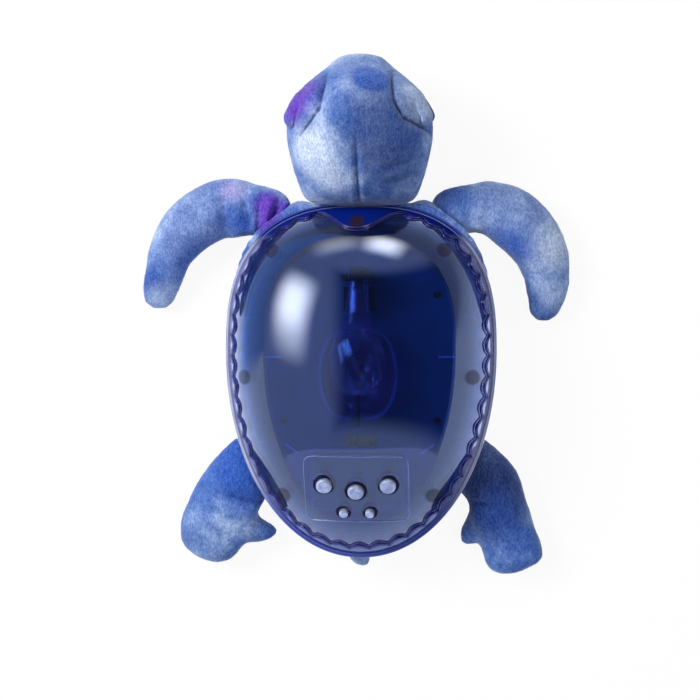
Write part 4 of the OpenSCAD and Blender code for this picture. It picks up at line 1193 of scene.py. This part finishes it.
def on_head(x, z):
    """The place on the front of the head at a width and a height."""
    _, place, normal, _ = head.ray_cast(Vector((x, cad_high.y + 0.1, z)), Vector((0, -1, 0)))
    return place + normal * 0.3 * MM


MOUTH_HALF = 17 * MM
MOUTH_Z = 30 * MM
MOUTH_LIFT = 6 * MM
NOSTRIL_X = 5 * MM
NOSTRIL_Z = 43 * MM
eye_thread = thread("navy_thread", tone(20, 22, 58))
for side in ("left", "right"):
    eye = stuffed(f"{side}_eye_stitch", f"{side}_eye", 1.5 * MM, 0.8 * MM)
    settle(eye, 180)
    wear(eye, "head", "eye_thread", eye_thread, f"{side}_eye")

shares = [k / 12 for k in range(-12, 13)]
smile = [on_head(MOUTH_HALF * s, MOUTH_Z + MOUTH_LIFT * s * s) for s in shares]
wear(roll(laid_line("mouth_stitch", smile), 0.9 * MM), "head", "eye_thread", eye_thread)
for side in (-1, 1):
    let_go()
    place = on_head(side * NOSTRIL_X, NOSTRIL_Z)
    bpy.ops.mesh.primitive_uv_sphere_add(segments=24, ring_count=12, radius=1.6 * MM, location=place)
    nostril = named("left_nostril" if side < 0 else "right_nostril")
    nostril.scale = (1.0, 0.5, 0.6)
    settle(nostril, 180)
    wear(nostril, "head", "eye_thread", eye_thread)

# %% [markdown]
# ## Flippers, bag and tail
# The flippers are sewn to the side of the body. Their folds are where the photograph shows them. The bag
# round the base is gathered under the rim and swells into a shoulder on either side of the head.

# %% Flippers
# Each has its side, slot, folds (start, end, width, depth) and pulls (x, y, radius, move x, move y) in mm
FLIPPERS = {
    "left_front": (-1, "plush_violet", [
        ((-97, 128), (-95, 104), 3.2, 2.4), ((-80, 127), (-78, 101), 3.4, 2.6),
        ((-88, 127), (-87, 103), 4, -0.9), ((-67, 122), (-66, 101), 2.4, -2.6),
        ((-62, 121), (-60, 99), 2.2, 3.0), ((-57, 119), (-55, 99), 2.4, -2.4),
        ((-73, 124), (-72, 102), 2.2, 2.4), ((-124, 96), (-113, 90), 2.4, 1.0),
        ((-135, 72), (-125, 70), 2.2, 0.8),
    ], [(-58, 128, 22, 6, 3), (-150, 56, 26, -4, 0), (-80, 90, 16, 4, 8)]),
    "right_front": (1, "plush_blue", [
        ((72, 124), (75, 102), 3, 1.6), ((88, 124), (87, 104), 3, 1.0), ((118, 98), (108, 90), 2.4, 1.0),
        ((126, 74), (116, 72), 2.2, 0.9),
    ], [(56, 128, 22, -7, 3), (134, 56, 22, 2, 0), (78, 90, 16, -4, 8)]),
    "left_rear": (-1, "plush_blue", [
        ((-89, -66), (-70, -76), 5, -2.0), ((-95, -79), (-69, -87), 3.6, 3.4),
        ((-110, -80), (-99, -90), 2.2, 1.0), ((-104, -104), (-89, -113), 2.2, 1.0),
        ((-112, -98), (-104, -112), 2.0, 0.8),
    ], [(-120, -112, 30, -4, -2), (-64, -110, 20, 9, 0), (-104, -128, 24, 0, -3)]),
    "right_rear": (1, "plush_blue", [
        ((74, -84), (92, -86), 3.2, 2.6), ((80, -76), (94, -77), 4, -1.4), ((96, -98), (112, -102), 2.2, 1.0),
        ((92, -112), (110, -118), 2.2, 1.0),
    ], [
        (68, -108, 18, 0, -6), (120, -124, 26, 4, -2), (102, -58, 30, 4, 0), (98, -132, 22, 0, -3),
        (66, -84, 16, 5, 0),
    ]),
}
for place, (side, slot, folds, pulls) in FLIPPERS.items():
    node = place + "_flipper"
    hinge = hinges[node + "_lift"]
    outward = Vector(hinge["axis"]).cross(Vector((0, 0, 1)))
    outward *= math.copysign(1, outward.x * side)
    limb = stuffed(place + "_plush", node, 4.5 * MM, 5 * MM, folds)
    for where in pulls:
        pull(limb, *where)
    brushed(limb)
    wear(limb, None, slot, plush_blue, node)
    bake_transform(limb)

# %% Body bag and tail
GATHERS = 74
GATHER_DEPTH = 0.9 * MM
GATHER_LOW = 24 * MM
SHOULDER_X = 45 * MM
SHOULDER_HALF = 11 * MM
SHOULDER_REACH = 7 * MM
bag = netted("plush_bag", "plush_body", 2.4 * MM)
outwards = [vertex.normal.copy() for vertex in bag.data.vertices]
for vertex, normal in zip(bag.data.vertices, outwards):
    turn = math.atan2(vertex.co.y - WIDEST_Y, vertex.co.x)
    rise = max(0.0, vertex.co.z - GATHER_LOW) / (RIM_Z - GATHER_LOW)
    wave = 0.5 + 0.5 * math.sin(GATHERS * turn + 3 * math.sin(5 * turn))
    outer = normal.x * vertex.co.x + normal.y * (vertex.co.y - WIDEST_Y) > 0
    if outer:
        vertex.co -= normal * GATHER_DEPTH * rise * wave
    if outer and vertex.co.y > WIDEST_Y:
        beside = math.exp(-(((abs(vertex.co.x) - SHOULDER_X) / SHOULDER_HALF) ** 2))
        vertex.co.y += SHOULDER_REACH * beside * max(0.0, math.sin(math.pi * min(1.0, vertex.co.z / RIM_Z)))
modify(bag, "SUBSURF", levels=1)
brushed(bag)
wear(bag, "shell", "plush_blue", plush_blue, "plush_body")
tail = stuffed("tail_plush", "tail", 2 * MM, 2 * MM)
brushed(tail, 0.4 * MM)
wear(tail, "shell", "plush_blue", plush_blue, "tail")

# %% [markdown]
# ## Finishes for the solids that stay
# The rest of the frame keeps its shape. Each solid gets the finish of what it is made of. The pin in the
# drum's neck and the screws in the bracket have finishes of their own, under their own names.


# %% Metals, boards and paper
def metal(name, colour, rough=0.3):
    finish = Finish(name)
    fine = finish.noise(0.0008, 4.0)
    stain = finish.between(finish.noise(0.006, 3.0), 0.4, 0.75)
    shade = finish.mix(stain, colour, scaled(colour, 0.6))
    more = {"Metallic": 1.0, "Normal": finish.bump(fine, 0.00003, 0.4)}
    return finish.done(finish.surface(shade, rough + 0.2 * stain, more))


def board(name, colour, track):
    """A lacquered circuit board with faint tracks."""
    finish = Finish(name)
    squares = {"Vector": finish.place, "Scale": 260.0}
    cells = finish.node("TexVoronoi", {"distance": "CHEBYCHEV"}, squares, "Distance")
    line = finish.between(cells, 0.30, 0.36)
    shade = finish.mix(line * 0.6, colour, track)
    bump = finish.bump(line, 0.00005, 0.5)
    return finish.done(finish.surface(shade, 0.35 + 0.2 * line, {"Normal": bump}))


FINISHES = {
    "tray_blue": moulded("tray_blue_plastic", tone(92, 100, 150), 0.28),
    "chassis_navy": moulded("chassis_navy_plastic", tone(28, 82, 122), 0.5, 0.0009, 0.0001, 52 * MM),
    "bracket_blue": clear_plastic("bracket_blue_clear", (0.6, 0.68, 0.95, 1), tone(66, 84, 150), 0.75),
    "black_plastic": moulded("black_plastic_moulding", tone(24, 24, 30), 0.42),
    "pinion_ivory": moulded("ivory_nylon", tone(225, 218, 196), 0.45),
    "screw_brown": metal("browned_screw", tone(112, 84, 66), 0.45),
    "steel": metal("plain_steel", tone(176, 178, 184), 0.28),
    "board_white": board("white_board", tone(230, 232, 232), tone(205, 210, 205)),
    "led_amber": moulded("amber_resin", tone(235, 168, 60), 0.2),
    "board_brown": board("brown_board", tone(128, 82, 46), tone(165, 120, 70)),
    "board_green": board("green_board", tone(24, 66, 62), tone(46, 92, 88)),
    "magnet_grey": moulded("ferrite_grey", tone(70, 70, 74), 0.6),
    "cone_paper": moulded("cone_paper_pulp", tone(44, 42, 44), 0.85, 0.0004, 0.0002),
    "cell_jacket": moulded("cell_jacket_film", tone(150, 152, 158), 0.3),
    "nickel": metal("nickel_plate", tone(205, 200, 188), 0.22),
    "drum_pin": metal("blued_pin", tone(58, 58, 70), 0.5),
    "bracket_screws": metal("blued_screw", tone(70, 74, 92), 0.6),
    "elastic_white": moulded("woven_elastic", tone(226, 228, 236), 0.8, 0.0008, 0.0003),
}
print(len(FINISHES), "finishes")

# %% Dress the solids that stay
for name, node in frame["nodes"].items():
    worn = node.material_slots[0]
    finish = FINISHES.get(name) or FINISHES.get(worn.material.name)
    if finish:
        worn.material = finish
        print(name, "wears", finish.name)
